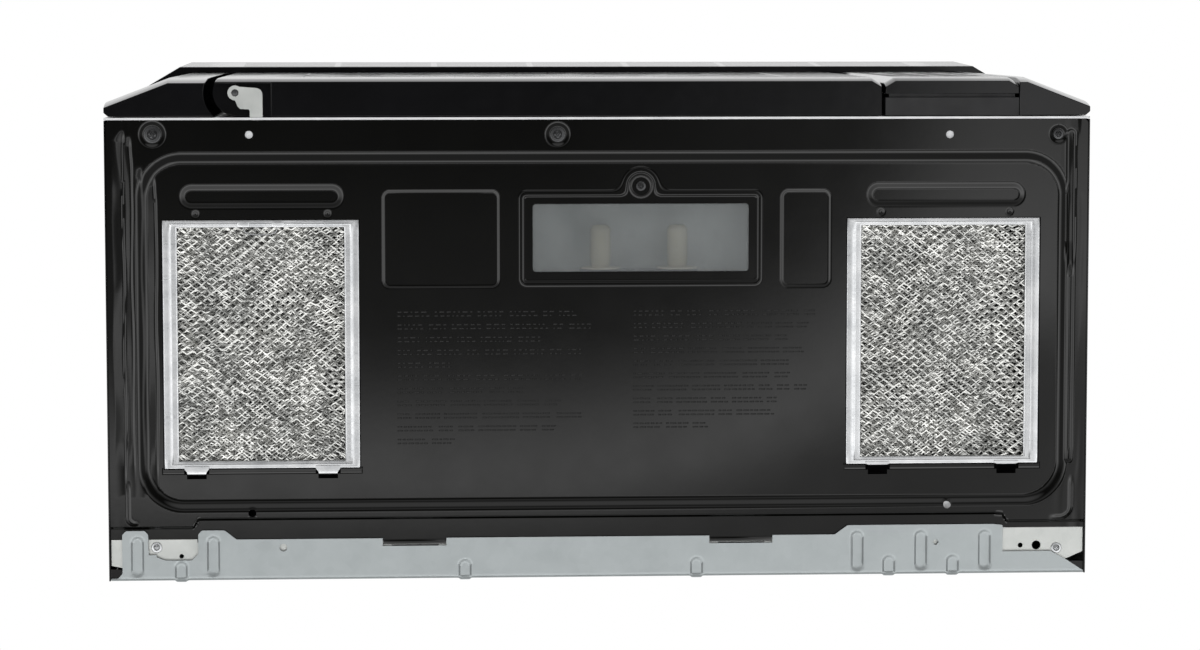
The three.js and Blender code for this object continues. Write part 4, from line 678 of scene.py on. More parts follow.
# Pressed into the sheet: ranges across and along, corner radius, depth, width and softness of the slope
pressings = [(fieldX, fieldY, 28.0, pan["rise"], 5.4, 0.3)]
pressings += [(around(*ends, -pan["beadEnd"]), pan["beadY"], 5.1, 1.3, 3.7, 0.12) for ends in pan["beadX"]]
pressings += [(*discAt(x, pan["dimpleY"], 1.3), 0.8, 1.2, 0.35) for x in pan["dimpleX"]]
pressings += [(*ranges, 5.0, 0.6, 0.8, 0.2) for ranges in pan["pads"]]
pressings += [(*ranges, (ranges[0][1] - ranges[0][0]) / 2, 1.2, 1.4, 0.35) for ranges in pan["sideBeads"]]
pressings += [(*discAt(x, y, seat + 0.3), 2.2, 2.6, 0.2) for x, y, seat in pan["screws"]]


ripples = {
    # distances from the side over which they come in and end, distance from the front over which they fade,
    # and what is left of them further back
    "band": ((27.0, 13.0), (1.5, 4.5)), "fade": (90.0, 0.25),
    # waves along the rim: height, length and what sets the two sides apart
    "shifts": ((2.2, 23.0, 1.3), (1.4, 9.5, 0.0)),
    # waves across it: height, length, share of the shift, turn per millimetre along the rim
    "waves": ((0.1, 1.9, 1.0, 0.0), (0.14, 3.4, -0.6, 1 / 31)),
}


# Sheet drawn round the field's corners stays wavy: ripples across the rim, which fade away from its sides.
def wrinkles(x, y):
    inwards = bayX - np.abs(x)
    reach, least = ripples["fade"]
    shown = np.clip(1 - (y - bayY) / reach, least, 1)
    for ends in ripples["band"]:
        shown = shown * fade(inwards, *ends)
    shift = sum(height * np.sin(y / length + apart * np.sign(x))
                for height, length, apart in ripples["shifts"])
    return shown * sum(height * np.sin((np.abs(x) + share * shift) / length + y * turn)
                       for height, length, share, turn in ripples["waves"])


# Each fold is a shallow ramp inwards that ends in a short drop, and its line wanders in two waves.
def folds(x, y):
    z = np.zeros_like(x)
    rise, drop = pan["foldRise"]
    *waves, reach = pan["foldWaves"]
    comesIn, (backStart, backEnd) = pan["foldEnds"]
    for start, end, front in pan["folds"]:
        front, width = behind(front), end - start
        steady, fading = [height * np.sin(y / length + turn * start) for height, length, turn in waves]
        across = (x + bayX - start - steady - fading * fade(y, front + reach, front)) / width
        lengthwise = fade(y, front, front + comesIn) * fade(y, ahead(backStart), ahead(backEnd))
        z += rise * width * lengthwise * np.interp(across, (0, 1, 1 + drop / width), (0, 1, 0))
    return z


# The underside: 0 at the rim, and above it each pressing, the ripples, the folds, the line round each hook
# and the step at the joggle, less the lips behind the filters.
def panHeight(x, y):
    z = wrinkles(x, y) + folds(x, y)
    for rangeX, rangeY, radius, depth, width, soft in pressings:
        z += depth * slope(slotDistance(x, y, rangeX, rangeY, radius), width, soft)
    height, half, width = pan["hookLine"]
    for side, inset, back, radius, reach in pan["hooks"]:
        fromSide = bayX - side * x
        line = np.abs(slotDistance(fromSide, y, (inset, bayX), (0.0, ahead(back)), radius))
        shown = fade(fromSide, reach, reach - 6) * fade(y, ahead(78), ahead(72))
        z += height * shown * slope(line - half, width)
    middle, ends, width, rise = pan["joggle"]
    left, right = pan["joggleX"]
    joggle = ends + (middle - ends) * fade(x, left - 3, left + 1) * fade(x, right + 3, right - 1)
    z += rise * np.clip((y - joggle) / width + 0.3, 0, 1)
    drop, inner, outer, reach = pan["lip"]
    half, end = grease["width"] / 2, grease["end"]
    for centre in filterX:
        beside = fade(np.abs(x - centre), half + outer, half + inner)
        z -= drop * beside * fade(y, end + reach, end + reach - 0.9) * (y > end - 1)
    return np.maximum(z, 0)


# The rectangles cut for each filter, for its two rear tabs, and for the lens.
def openings():
    cuts = []
    front, end = grease["front"] - grease["fit"], grease["end"]
    half = grease["width"] / 2 + grease["fit"]
    for centre in filterX:
        cuts.append((around(centre, centre, half), (front, end + pan["notches"][0][0])))
        cuts += [(around(centre + side, centre + side, reach), (end + near, end + far))
                 for side in grease["tabX"] for near, far, reach in pan["notches"]]
    return cuts + [[around(*lamp[side], lamp["lensMargin"]) for side in ("lensX", "lensY")]]


# Fine steps lie by the field's slope, the rim, the screws, beads, dimples, holes and pads, and a line lies
# along each side of an opening.
def panLines(cuts):
    fine, medium, coarseX, coarseY = pan["grid"]
    zonesX = [(fieldX[0] - 7, fieldX[0] + 1), (fieldX[1] - 1, fieldX[1] + 7), (-bayX, 38 - bayX),
              (bayX - 24, bayX), (fieldX[0], fieldX[0] + 30, medium), (fieldX[1] - 30, fieldX[1], medium)]
    zonesX += [around(x, x, seat + 5) for x, y, seat in pan["screws"]]
    zonesX += [around(low, low, 4, 8) for low, high in pan["beadX"]]
    zonesX += [around(high, high, 8, 4) for low, high in pan["beadX"]]
    zonesX += [around(x, x, 4) for x in pan["dimpleX"]] + [around(x, x, 5) for x, y in pan["holes"]]
    zonesX += [around(side, side, 4) for rangeX, rangeY in pan["pads"] for side in rangeX]
    zonesY = [(behind(1), behind(25)), (fieldY[0] - 7, fieldY[0] + 1), (behind(49), behind(78)),
              (behind(125), behind(134)), (ahead(86), ahead(80)), (ahead(69), ahead(39)),
              (fieldY[0], fieldY[0] + 30, medium), (fieldY[1] - 30, fieldY[1], medium)]
    exactX = [side for rangeX, rangeY in cuts for side in rangeX] + list(pan["joggleX"])
    exactX += [centre + side * (grease["width"] / 2 + more) for centre in filterX for side in (-1, 1)
               for more in pan["lip"][1:3]]
    exactY = [side for rangeX, rangeY in cuts for side in rangeY]
    exactY += [*pan["rearEnds"], grease["end"] + pan["lip"][3]]
    return (gridLines(-bayX, bayX, coarseX, fine, zonesX, exactX),
            gridLines(pan["front"], pan["rear"], coarseY, fine, zonesY, exactY))


def buildPan():
    cuts = openings()
    x, y = np.meshgrid(*panLines(cuts))
    points = gridPoints(x, y, panHeight(x, y))
    faces = gridQuads(*x.shape)
    cuts = [*cuts, ((-bayX, pan["joggleX"][0]), (pan["rearEnds"][0], pan["rear"])),
            ((pan["joggleX"][1], bayX), (pan["rearEnds"][1], pan["rear"]))]
    middleX, middleY = points[faces].mean(axis=1).T[:2]
    kept = np.ones(len(faces), bool)
    for (left, right), (near, far) in cuts:
        kept[(middleX > left) & (middleX < right) & (middleY > near) & (middleY < far)] = False
    faces = faces[kept]
    for centre in pan["holes"]:
        points, faces = punch(points, faces, centre, pan["holeRadius"])
    # the front corners are round: points outside their arcs move on to them
    corner = pan["corner"]
    for side in (-1, 1):
        offset = points[:, :2] - (side * (bayX - corner), pan["front"] + corner)
        far = np.hypot(*offset.T)
        out = (side * offset[:, 0] > 0) & (offset[:, 1] < 0) & (far > corner)
        points[out, :2] -= offset[out] * (1 - corner / far[out])[:, None]
    # faces that the move turned over or flattened go: the diagonals' cross product is twice a face's area
    plan = points[faces][:, :, :2]
    diagonals = plan[:, 2] - plan[:, 0], plan[:, 3] - plan[:, 1]
    doubled = diagonals[0][:, 0] * diagonals[1][:, 1] - diagonals[0][:, 1] * diagonals[1][:, 0]
    points, faces = keepFaces(points, faces[doubled > 0.02])
    makePiece("basePan", points, faces[:, ::-1], "black_enamel", replaced=["base_pan"], wall=pan["sheet"])


buildPan()
print("base pan pressed")


# Rear panel: flange under the pan, bend and upright, worked out as one flat sheet
hang = (-17.65 - 126.7, -17.65 + 126.7)
rear = {
    "sheet": 1.0, "face": rearY - 1.2, "bend": 2.5, "top": 415.5,
    # beads: height, half width and width of the slope; ribs: half width, corner radius and width of the slope
    "bead": (1.2, 3.7, 1.2), "rib": (7.0, 6.9, 2.0),
    "long": (20.4 - bayX, 78.7 - bayX, bayX - 178, bayX - 128, bayX - 78), "longY": (ahead(34.5), ahead(5.5)),
    "short": (54 - bayX, -105.4, 74.6, bayX - 153, bayX - 103), "shortFrom": ahead(15.0), "shortTop": 15.0,
    "ribs": (110.0, 240.0), "ribMargin": 138.0,
    # place and radius of each hole
    "holes": ((132.5 - bayX, ahead(26.4), 3.0), (bayX - 116.4, ahead(26.5), 2.4)),
    "notchHalf": 24.65, "notchRear": 27.0, "slotHalf": 15.0, "slotZ": (1.5, 9.0),
    # the flange's edge: distances from the side and from the wall, from the right side inwards, and from the
    # right end of the left tabs to the left side
    "front": 33.0,
    "rightEdge": ((0, 3), (13.1, 11.5), (26, 18.6), (63.8, 18.6), (63.8, 38.7), (65.3, 40.2), (185.5, 40.2),
                  (195.5, 33)),
    "leftEdge": ((96.5, 33), (87.3, 40.2), (70, 40.2), (67.1, 37.2), (67.1, 22), (62, 17), (42, 17),
                 (33, 20.5), (28.7, 25), (28.7, 37.2), (26, 40.2), (11.8, 40.2), (8.8, 37.2), (8.8, 7),
                 (5, 3), (0, 3)),
    # the black lip in each notch, a painted shade for the notch's dark opening: place, space beside it,
    # heights, reach and height of its round edge
    "lip": ((ahead(31.8), ahead(28.1)), 0.4, (1.6, 2.1, 0.6, 0.3)),
    # steps of the grid across and along the flat sheet, and how far a point may move on to its edge
    "gridX": (9.0, 1.5), "gridS": (16.0, 1.4), "snap": 1.3,
}
# places along the flat sheet: the bend's start and end, and the place that comes to the height of the flange
bendStart = rear["face"] - rear["bend"]
bendEnd = bendStart + rear["bend"] * math.pi / 2
upright = bendEnd - rear["bend"]
sheetTop = upright + rear["top"]


# The flat sheet's edge, from its top right corner round the flange to its top left corner.
def flangeOutline():
    half, front, deep = rear["notchHalf"], ahead(rear["front"]), ahead(rear["notchRear"])
    outline = [(bayX, sheetTop)] + [(bayX - aside, ahead(back)) for aside, back in rear["rightEdge"]]
    for middle in reversed(hang):
        left, right = middle - half, middle + half
        outline += [(right, front), (right, deep), (left, deep), (left, front)]
    outline += [(aside - bayX, ahead(back)) for aside, back in rear["leftEdge"]]
    return np.array(outline + [(-bayX, sheetTop)])


# True where a line to the right of the place crosses the outline an odd number of times.
def insideOutline(places, outline):
    x, y = places[:, 0:1], places[:, 1:2]
    a, b = outline, np.roll(outline, -1, axis=0)
    crosses = (a[:, 1] > y) != (b[:, 1] > y)
    rise = np.where(np.abs(b[:, 1] - a[:, 1]) < 1e-9, 1e-9, b[:, 1] - a[:, 1])
    return (crosses & (x < a[:, 0] + (b[:, 0] - a[:, 0]) * (y - a[:, 1]) / rise)).sum(axis=1) % 2 == 1


# The closest point of the outline to each place, found edge by edge along each edge's own direction.
def nearestOnOutline(places, outline):
    a, b = outline, np.roll(outline, -1, axis=0)
    run = b - a
    share = ((places[:, None] - a) * run).sum(axis=2) / np.maximum((run ** 2).sum(axis=1), 1e-12)
    spots = a + np.clip(share, 0, 1)[:, :, None] * run
    return spots[np.arange(len(places)), ((places[:, None] - spots) ** 2).sum(axis=2).argmin(axis=1)]


# Faces whose middle lies outside go, and the points along the cut move on to the outline.
def cutToOutline(flat, faces, outline, reach):
    kept = insideOutline(flat[faces].mean(axis=1), outline)
    edgePoints = np.intersect1d(faces[kept], faces[~kept])
    target = nearestOnOutline(flat[edgePoints], outline)
    near = np.hypot(*(target - flat[edgePoints]).T) < reach
    flat[edgePoints[near]] = target[near]
    return flat, faces[kept]


# The flat sheet runs level to the bend, round it and upwards, and lift moves it along its own normal.
def foldSheet(flat, lift):
    turn = np.interp(flat[:, 1], (bendStart, bendEnd), (0, math.pi / 2))
    y = np.minimum(flat[:, 1], bendStart) + rear["bend"] * np.sin(turn)
    z = rear["bend"] * (1 - np.cos(turn)) + np.maximum(flat[:, 1] - bendEnd, 0)
    return np.stack([flat[:, 0], y + np.sin(turn) * lift, z - np.cos(turn) * lift], axis=1)


# The beads and ribs stand inwards on the flange and outwards on the upright.
def rearLift(x, s):
    height, half, width = rear["bead"]
    beads = [(around(x, x, half), rear["longY"], half, width) for x in rear["long"]]
    beads += [(around(x, x, half), (rear["shortFrom"], upright + rear["shortTop"]), half, width)
              for x in rear["short"]]
    ribX = around(-bayX, bayX, -rear["ribMargin"])
    half, radius, width = rear["rib"]
    beads += [(ribX, around(upright + z, upright + z, half), radius, width) for z in rear["ribs"]]
    lift = sum(slope(slotDistance(x, s, *place), width) for *place, width in beads)
    return height * np.interp(s, (bendStart, bendEnd), (-1, 1)) * lift


def buildRearPanel():
    slotLow = bendStart + rear["bend"] * math.acos(1 - rear["slotZ"][0] / rear["bend"])
    slotHigh = upright + rear["slotZ"][1]
    zonesX = [around(x, x, 6.5) for x in rear["long"] + rear["short"]]
    zonesX += [around(x, x, 4) for x, y, radius in rear["holes"]]
    zonesX += [(bayX - 27, bayX), (-bayX, 29 - bayX), (bayX - 198, bayX - 184), (60 - bayX, 98 - bayX)]
    zonesS = [(ahead(41), upright + 19)]
    zonesS += [around(upright + z + side, upright + z + side, 3) for z in rear["ribs"] for side in (-8, 8)]
    exactX = [middle + side * half for middle in hang for side in (-1, 1)
              for half in (rear["notchHalf"], rear["slotHalf"])]
    exactX += [bayX - 63.8, 67.1 - bayX, 8.8 - bayX, 28.7 - bayX]
    exactS = [ahead(back) for back in (rear["front"], rear["notchRear"], 18.6, 17, 3)]
    exactS += [bendStart, bendEnd, slotLow, slotHigh]
    x, s = np.meshgrid(gridLines(-bayX, bayX, *rear["gridX"], zonesX, exactX),
                       gridLines(ahead(40.2), sheetTop, *rear["gridS"], zonesS, exactS))
    flat, faces = np.stack([x.ravel(), s.ravel()], axis=1), gridQuads(*x.shape)
    flat, faces = cutToOutline(flat, faces, flangeOutline(), rear["snap"])
    for centre in hang:
        middleX, middleS = flat[faces].mean(axis=1).T
        high = (middleS > slotLow) & (middleS < slotHigh)
        faces = faces[~(high & (np.abs(middleX - centre) < rear["slotHalf"]))]
    points = foldSheet(flat, rearLift(*flat.T))
    for holeX, holeY, radius in rear["holes"]:
        points, faces = punch(points, faces, (holeX, holeY), radius)
    points, faces = keepFaces(points, faces)
    makePiece("rearPanel", points, faces[:, ::-1], "zinc_sheet", replaced=["rear_panel"], wall=rear["sheet"])


# A black lip in each hanging notch, a painted shade that stands for the notch's dark opening, and leaves a
# thin line of the rail in sight.
def notchShadeLips():
    rangeY, space, levels = rear["lip"]
    for side, centre in zip(("left", "right"), hang):
        plan = boxPlan(around(centre, centre, rear["notchHalf"] - space), rangeY)
        points, faces = carried(plan, [1] * 4, edgeLevels(*levels, top=False))
        makePiece(side + "NotchShadeLip", points, faces, "black_enamel")


buildRearPanel()
notchShadeLips()
print("rear panel folded")


# Grease filters
frameProfile = np.array([
    # share of the border from outside, height
    (0.0, 7.2), (0.0, 0.7), (0.02, 0.28), (0.06, 0.05), (0.1, 0.0), (0.3, 0.08), (0.52, 0.0), (0.56, 0.22),
    (0.66, 0.28), (0.9, 0.22), (0.96, 0.3), (1.0, 0.55), (1.0, 0.9), (0.94, 1.05), (0.08, 1.05), (0.08, 7.0),
    (1.0, 7.0), (1.0, 8.0), (0.06, 8.0),
])
frameBorder = {"side": 11.5, "end": 5.75, "steps": 24, "dent": 0.12, "dentSteps": 8}
netting = {
    # height above the frame's underside, shift across and along, turn in degrees, stretch
    "layers": ((1.7, 0.0, 0.0, 0.4, 1.0), (2.8, 2.1, 1.2, 1.6, 1.02), (3.9, 4.4, 2.0, -1.5, 0.985),
               (5.0, 1.2, 2.9, 0.9, 1.03), (6.1, 5.0, 0.7, -0.7, 0.97)),
    "cell": (7.6, 6.2), "steps": 2, "strand": 1.1, "thick": 0.3, "margin": 1.2,
    # long waves: height and length, across, along and up; uneven strands: spread across, along and up
    "bow": ((0.7, 23), (0.8, 17)), "wave": (0.3, 13, 19), "crumple": (0.2, 0.17, 0.14), "tilt": (0.35, 0.5),
}


# A folded profile carried round the rectangle: each profile point lies a share of the border inwards, and the
# lower ones are dented a little along the way.
def filterFrame(name, body, centre, replaced):
    dents = np.random.default_rng(7)
    halfX, halfY = grease["width"] / 2, grease["length"] / 2
    share, height = frameProfile.T
    t = np.linspace(0, 1, frameBorder["steps"], endpoint=False)
    corners = np.array([(-1, -1), (1, -1), (1, 1), (-1, 1)], float)
    path = np.concatenate([corners[i] + t[:, None] * (corners[(i + 1) % 4] - corners[i]) for i in range(4)])
    places = np.arange(0, len(path) + frameBorder["dentSteps"], frameBorder["dentSteps"])
    dent = frameBorder["dent"] * np.interp(np.arange(len(path)), places, dents.uniform(-1, 1, len(places)))
    x = centre + path[:, 0:1] * (halfX - share * frameBorder["side"])[None, :]
    y = grease["front"] + halfY + path[:, 1:2] * (halfY - share * frameBorder["end"])[None, :]
    z = grease["z"] + height[None, :] + (height < 2)[None, :] * np.maximum(dent, 0)[:, None]
    points = np.stack([x, y, z], axis=2).reshape(-1, 3)
    faces = gridQuads(len(path), len(share), closedRows=True, closedColumns=True)
    makePiece(name, points, faces, "filter_aluminium", body, replaced, smooth=40)


# Zigzag strands side by side, each mirrored against the next so that they meet in diamonds. The zigzag is a
# triangle wave across; small seeded noise crumples it.
def strandLayer(seed, height, shiftX, shiftY, turnDegrees, stretch):
    drift = np.random.default_rng(seed)
    halfX, halfY = [grease[side] / 2 - netting["margin"] for side in ("width", "length")]
    cellX, cellY = [size * stretch for size in netting["cell"]]
    columns, rows = int(2 * halfX / (cellX / 2 / netting["steps"])), int(2 * halfY / (cellY / 2))
    x = np.linspace(-halfX, halfX, columns + 1)
    y = (np.arange(rows) + 0.5) * (2 * halfY / rows) - halfY
    gridX, gridY = np.meshgrid(x, y)
    phase = (gridX + shiftX) / cellX + np.arange(rows)[:, None] / 2
    zigzag = 4 * np.abs(phase - np.floor(phase + 0.5)) - 1
    waveX, waveY, waveZ = drift.uniform(0, 6.28, 3)
    (bowX, lengthX), (bowY, lengthY) = netting["bow"]
    bow = np.sin(gridY / lengthY + waveX) * bowY + np.sin(gridX / lengthX + waveY) * bowX
    high, longX, longY = netting["wave"]
    lift = np.sin(gridX / longX + waveY) * np.sin(gridY / longY + waveZ) * high
    noise = [drift.normal(0, size, gridX.shape) for size in netting["crumple"]]
    centreX = gridX + noise[0] + bow * 0.3
    centreY = gridY + shiftY + zigzag * cellY / 4 * 0.92 + bow * 0.4 + noise[1]
    turn = math.radians(turnDegrees)
    turnedX = np.clip(centreX * math.cos(turn) - centreY * math.sin(turn), -halfX, halfX)
    turnedY = np.clip(centreX * math.sin(turn) + centreY * math.cos(turn), -halfY, halfY)
    middle = np.stack([turnedX, turnedY, height + lift + noise[2]], axis=2)
    tilt = drift.normal(*netting["tilt"], gridX.shape)
    none = np.zeros_like(tilt)
    across = np.stack([none, np.cos(tilt), np.sin(tilt)], axis=2) * netting["strand"] / 2
    up = np.stack([none, -np.sin(tilt), np.cos(tilt)], axis=2) * netting["thick"] / 2
    ring = np.stack([middle - across - up, middle + across - up, middle + across + up, middle - across + up],
                    axis=2)
    count = (columns + 1) * 4
    caps = np.array([[0, 1, 2, 3], [count - 1, count - 2, count - 3, count - 4]])
    strand = np.concatenate([gridQuads(columns + 1, 4, closedColumns=True)[:, ::-1], caps])
    faces = (strand[None, :, :] + np.arange(rows)[:, None, None] * count).reshape(-1, 4)
    return ring.reshape(-1, 3), faces


def filterMesh(name, body, centre, seed, replaced):
    points, faces = joined([strandLayer(seed + i, *layer) for i, layer in enumerate(netting["layers"])])
    points += (centre, grease["front"] + grease["length"] / 2, grease["z"])
    makePiece(name, points, faces, "filter_mesh", body, replaced, smooth=60)


tabs = {"thick": 0.8, "reach": {"left": 4.65, "right": 0.9}, "profile": np.array([
    # distance behind the frame's end without the reach, share of the reach, height, half width
    (-2.0, 0.0, 3.1, 9.4), (-0.6, 0.2, 3.1, 9.3), (-0.3, 0.6, 3.1, 7.5), (-0.65, 1.0, 3.25, 7.1),
    (-0.15, 1.0, 3.7, 7.0), (0.0, 1.0, 4.4, 7.0), (0.0, 1.0, 7.5, 6.8),
])}


# Two rear tabs that taper and hook upwards behind the frame. Each is a strip along a path in the YZ plane:
# its width changes along the path, and its thickness lies along the path's normal.
def filterTabs(name, body, centre, reach):
    back, share, z, half = tabs["profile"].T
    path = np.column_stack([grease["end"] + back + reach * share, z])
    run = np.gradient(path, axis=0)
    normal = np.stack([-run[:, 1], run[:, 0]], axis=1) / np.hypot(*run.T)[:, None] * tabs["thick"]
    corners = [(-half, path), (half, path), (half, path + normal), (-half, path + normal)]
    points = np.stack([np.column_stack([x, yz]) for x, yz in corners], axis=1).reshape(-1, 3)
    count = len(points)
    caps = np.array([[3, 2, 1, 0], [count - 4, count - 3, count - 2, count - 1]])
    faces = np.concatenate([gridQuads(len(path), 4, closedColumns=True), caps])
    parts = [(points + (centre + side, 0, 0), faces) for side in grease["tabX"]]
    makePiece(name, *joined(parts), "filter_aluminium", body, smooth=40)


duct = {"wall": 6.0, "back": 16.0, "inset": 3.0, "corner": 4.0, "slope": 2.0, "z": (6.0, 44.0), "sheet": 0.8,
        "grid": (20.0, 1.0)}


# A dark tray upside down over the opening, a duct whose matt black also stands in for the shade behind the
# filter, a painted shade: its height is a step at the distance of the wall from the edge.
def filterDuctAndShade(name, centre):
    wall = duct["wall"]
    sides = around(centre, centre, grease["width"] / 2 + wall)
    ends = (grease["front"] - wall, grease["end"] + duct["back"])
    linesX, linesY = [gridLines(*ways, *duct["grid"], [(ways[0], ways[0] + wall), (ways[1] - wall, ways[1])])
                      for ways in (sides, ends)]
    x, y = np.meshgrid(linesX, linesY)
    inner = around(*sides, -duct["inset"]), around(*ends, -duct["inset"])
    low, high = duct["z"]
    z = low + (high - low) * slope(slotDistance(x, y, *inner, duct["corner"]), duct["slope"])
    makePiece(name, gridPoints(x, y, z), gridQuads(*x.shape)[:, ::-1], "matt_black", wall=duct["sheet"])


pull = {
    # clips: distance from the middle, half width, range behind the frame's front, heights and round edge
    "clipX": 13.2, "clipHalf": 4.6, "clipY": (0.6, 5.4), "clipLevels": (3.55, 4.1, 0.8, 0.35),
    # wire: radius, height at the front and rise towards the wall, path from the middle and behind the front
    "wire": (0.45, 4.3, 0.02),
    "path": ((-13.2, 2.6), (-13.0, 6.5), (-11.5, 9.4), (-8.0, 11.0), (0.0, 11.4), (8.0, 11.0), (11.5, 9.4),
             (13.0, 6.5), (13.2, 2.6)),
}


# Two clips on the frame's front edge that hold a thin wire loop to pull. The wire is a ring of eight points
# carried along its path.
def pullLoop(name, body, centre):
    front = grease["front"]
    rangeY = [front + place for place in pull["clipY"]]
    parts = [carried(boxPlan(around(centre + side, centre + side, pull["clipHalf"]), rangeY), [1] * 4,
                     edgeLevels(*pull["clipLevels"], top=False)) for side in (-pull["clipX"], pull["clipX"])]
    radius, low, rise = pull["wire"]
    path = np.array([(centre + x, front + y, low + rise * y) for x, y in pull["path"]])
    run = np.gradient(path, axis=0)
    aside = np.stack([-run[:, 1], run[:, 0], 0 * run[:, 0]], axis=1) / np.hypot(run[:, 0], run[:, 1])[:, None]
    turn = (np.arange(8) * math.pi / 4)[None, :, None]
    ring = path[:, None] + radius * (np.cos(turn) * aside[:, None] + np.sin(turn) * (0, 0, 1))
    wire = [face.tolist() for face in gridQuads(len(path), 8, closedColumns=True)]
    wire += [list(range(8))[::-1], list(range(len(path) * 8 - 8, len(path) * 8))]
    points, faces = [], []
    for these, those in [*parts, (ring.reshape(-1, 3), wire)]:
        faces += [[corner + len(points) for corner in face] for face in those]
        points += these.tolist()
    makePiece(name, points, faces, "filter_aluminium", body, smooth=40)


for side, centre, seed in (("left", filterX[0], 3), ("right", filterX[1], 11)):
    body = "filter_" + side
    filterFrame(side + "FilterFrame", body, centre, ["filter_frame_" + side])
    filterMesh(side + "FilterMesh", body, centre, seed, ["filter_mesh_" + side])
    filterTabs(side + "FilterTabs", body, centre, tabs["reach"][side])
    filterDuctAndShade(side + "FilterDuct", centre)
pullLoop("leftFilterPull", "filter_left", filterX[0])
print("filters made")


# Lamp cover, lens and bulbs
cover = {"sheet": 1.0, "z": 2.7, "bossRadius": 15.5, "fillet": 9.0, "corner": 7.0, "windowCorner": 2.5,
         "screwRadius": 2.3,
         # the step up inside the border: height, distance from the edge, width; the edge's own rounding; and
         # the ring round the screw: height, radius, half width, width of its slope
         "step": (0.8, 5.4, 1.0), "edge": (0.85, 1.9), "ring": (0.4, 8.2, 0.2, 0.8),
         # steps of the grid, and how far a point may move on to an edge
         "grid": (6.0, 0.9, 0.45), "snap": 0.95}


# Distance outside the cover: a rounded rectangle and the disc round the screw, joined by a fillet that takes
# off a quarter of the square of how near the two distances are.
def coverDistance(x, y):
    plate = slotDistance(x, y, around(lampX, lampX, lamp["halfWidth"]), lamp["rangeY"], cover["corner"])
    boss = np.hypot(x - lampX, y - lamp["screwY"]) - cover["bossRadius"]
    near = np.maximum(cover["fillet"] - np.abs(plate - boss), 0) / cover["fillet"]
    return np.minimum(plate, boss) - near ** 2 * cover["fillet"] / 4


def windowDistance(x, y):
    return slotDistance(x, y, lamp["lensX"], lamp["lensY"], cover["windowCorner"])


# A low border along the edge, a step up inside it, and a raised ring round the screw.
def coverHeight(x, y):
    inwards = -coverDistance(x, y)
    rise, place, width = cover["step"]
    z = cover["z"] + rise * slope(place - inwards, width, 0.2)
    rise, reach = cover["edge"]
    z += rise * np.clip(1 - inwards / reach, 0, 1) ** 2
    rise, radius, half, width = cover["ring"]
    return z - rise * slope(np.abs(np.hypot(x - lampX, y - lamp["screwY"]) - radius) - half, width, 0.2)


# Border points move along the slope of each distance on to the place where it is 0.
def snapTo(flat, border, distance):
    step = 0.01
    for repeat in range(3):
        here = flat[border]
        off = distance(*here.T)
        slopes = [(distance(*(here + move).T) - off) / step for move in ((step, 0), (0, step))]
        move = np.stack(slopes, axis=1) * off[:, None]
        close = np.abs(off) < cover["snap"]
        flat[border[close]] -= move[close]


def buildLampCover():
    coarse, fine, finest = cover["grid"]
    half, (near, far) = lamp["halfWidth"], lamp["rangeY"]
    (left, right), (front, back) = lamp["lensX"], lamp["lensY"]
    low = lamp["screwY"] - cover["bossRadius"]
    ends = around(lampX, lampX, half + 0.5)
    zonesX = [(ends[0], left + 3), (*around(lampX, lampX, 22), finest), (right - 3, ends[1])]
    zonesX += [(ends[0], lampX - half + 3, finest), (lampX + half - 3, ends[1], finest)]
    zonesY = [(low, near + 7, finest), (near + 7, front + 3), (back - 3, far + 0.5),
              (far - 3, far + 0.5, finest)]
    linesX = gridLines(*around(lampX, lampX, half), coarse, fine, zonesX, [left, right])
    linesY = gridLines(low, far, coarse, fine, zonesY, [near, front, back])
    x, y = np.meshgrid(linesX, linesY)
    flat = np.stack([x.ravel(), y.ravel()], axis=1)
    faces = gridQuads(*x.shape)
    middle = flat[faces].mean(axis=1)
    kept = (coverDistance(*middle.T) < 0) & (windowDistance(*middle.T) > 0)
    border = np.intersect1d(faces[kept], faces[~kept])
    for distance in (coverDistance, windowDistance):
        snapTo(flat, border, distance)
    points = np.column_stack([flat, coverHeight(*flat.T)])
    points, faces = keepFaces(*punch(points, faces[kept], (lampX, lamp["screwY"]), cover["screwRadius"]))
    makePiece("lampCover", points, faces[:, ::-1], "black_enamel", replaced=["lamp_cover"],
              wall=cover["sheet"])


glass = {"corner": 2.0, "edge": (0.25, 1.5, 1.2), "wall": 2.2, "grid": (4.0, 1.0), "fineTo": 3}


# The lens is flat, and its edge falls away by a quarter of a millimetre.
def buildLens():
    low, high = boxOf("lamp_lens")
    linesX, linesY = [gridLines(low[i], high[i], *glass["grid"], [(low[i], low[i] + glass["fineTo"]),
                                                                (high[i] - glass["fineTo"], high[i])])
                      for i in (0, 1)]
    x, y = np.meshgrid(linesX, linesY)
    inset = -slotDistance(x, y, (low[0], high[0]), (low[1], high[1]), glass["corner"])
    fall, place, width = glass["edge"]
    z = low[2] + fall - fall * slope(place - inset, width)
    makePiece("lampLens", gridPoints(x, y, z), gridQuads(*x.shape)[:, ::-1], "frosted_lens",
              replaced=["lamp_lens"], wall=glass["wall"])


# Each inner corner of the profile is cut by a quadratic curve that leaves it a share of the side away.
def roundedProfile(corners, steps=6, share=0.35):
    corners = np.array(corners, float)
    made = [corners[0]]
    for before, corner, after in zip(corners, corners[1:], corners[2:]):
        a = corner + (before - corner) * share
        b = corner + (after - corner) * share
        t = np.linspace(0, 1, steps)[:, None]
        made += list((1 - t) ** 2 * a + 2 * t * (1 - t) * corner + t ** 2 * b)
    return made + [corners[-1]]


# profiles of radius and distance, behind the bulb's tip or behind the socket bar's front
bulb = {"tip": ((0.01, 6.6), (5.5, 6.7), (8.0, 10.0), (8.0, 14.0)), "neck": ((7.9, -5.0), (6.4, -1.2)),
        "end": (0.01, -1.1),
        "rim": ((5.6, 0.25), (8.0, -1.0), (12.5, -1.6), (15.5, -1.1), (16.0, 0.25), (5.6, 0.25))}


def moved(profile, place):
    return [(radius, place + along) for radius, along in profile]


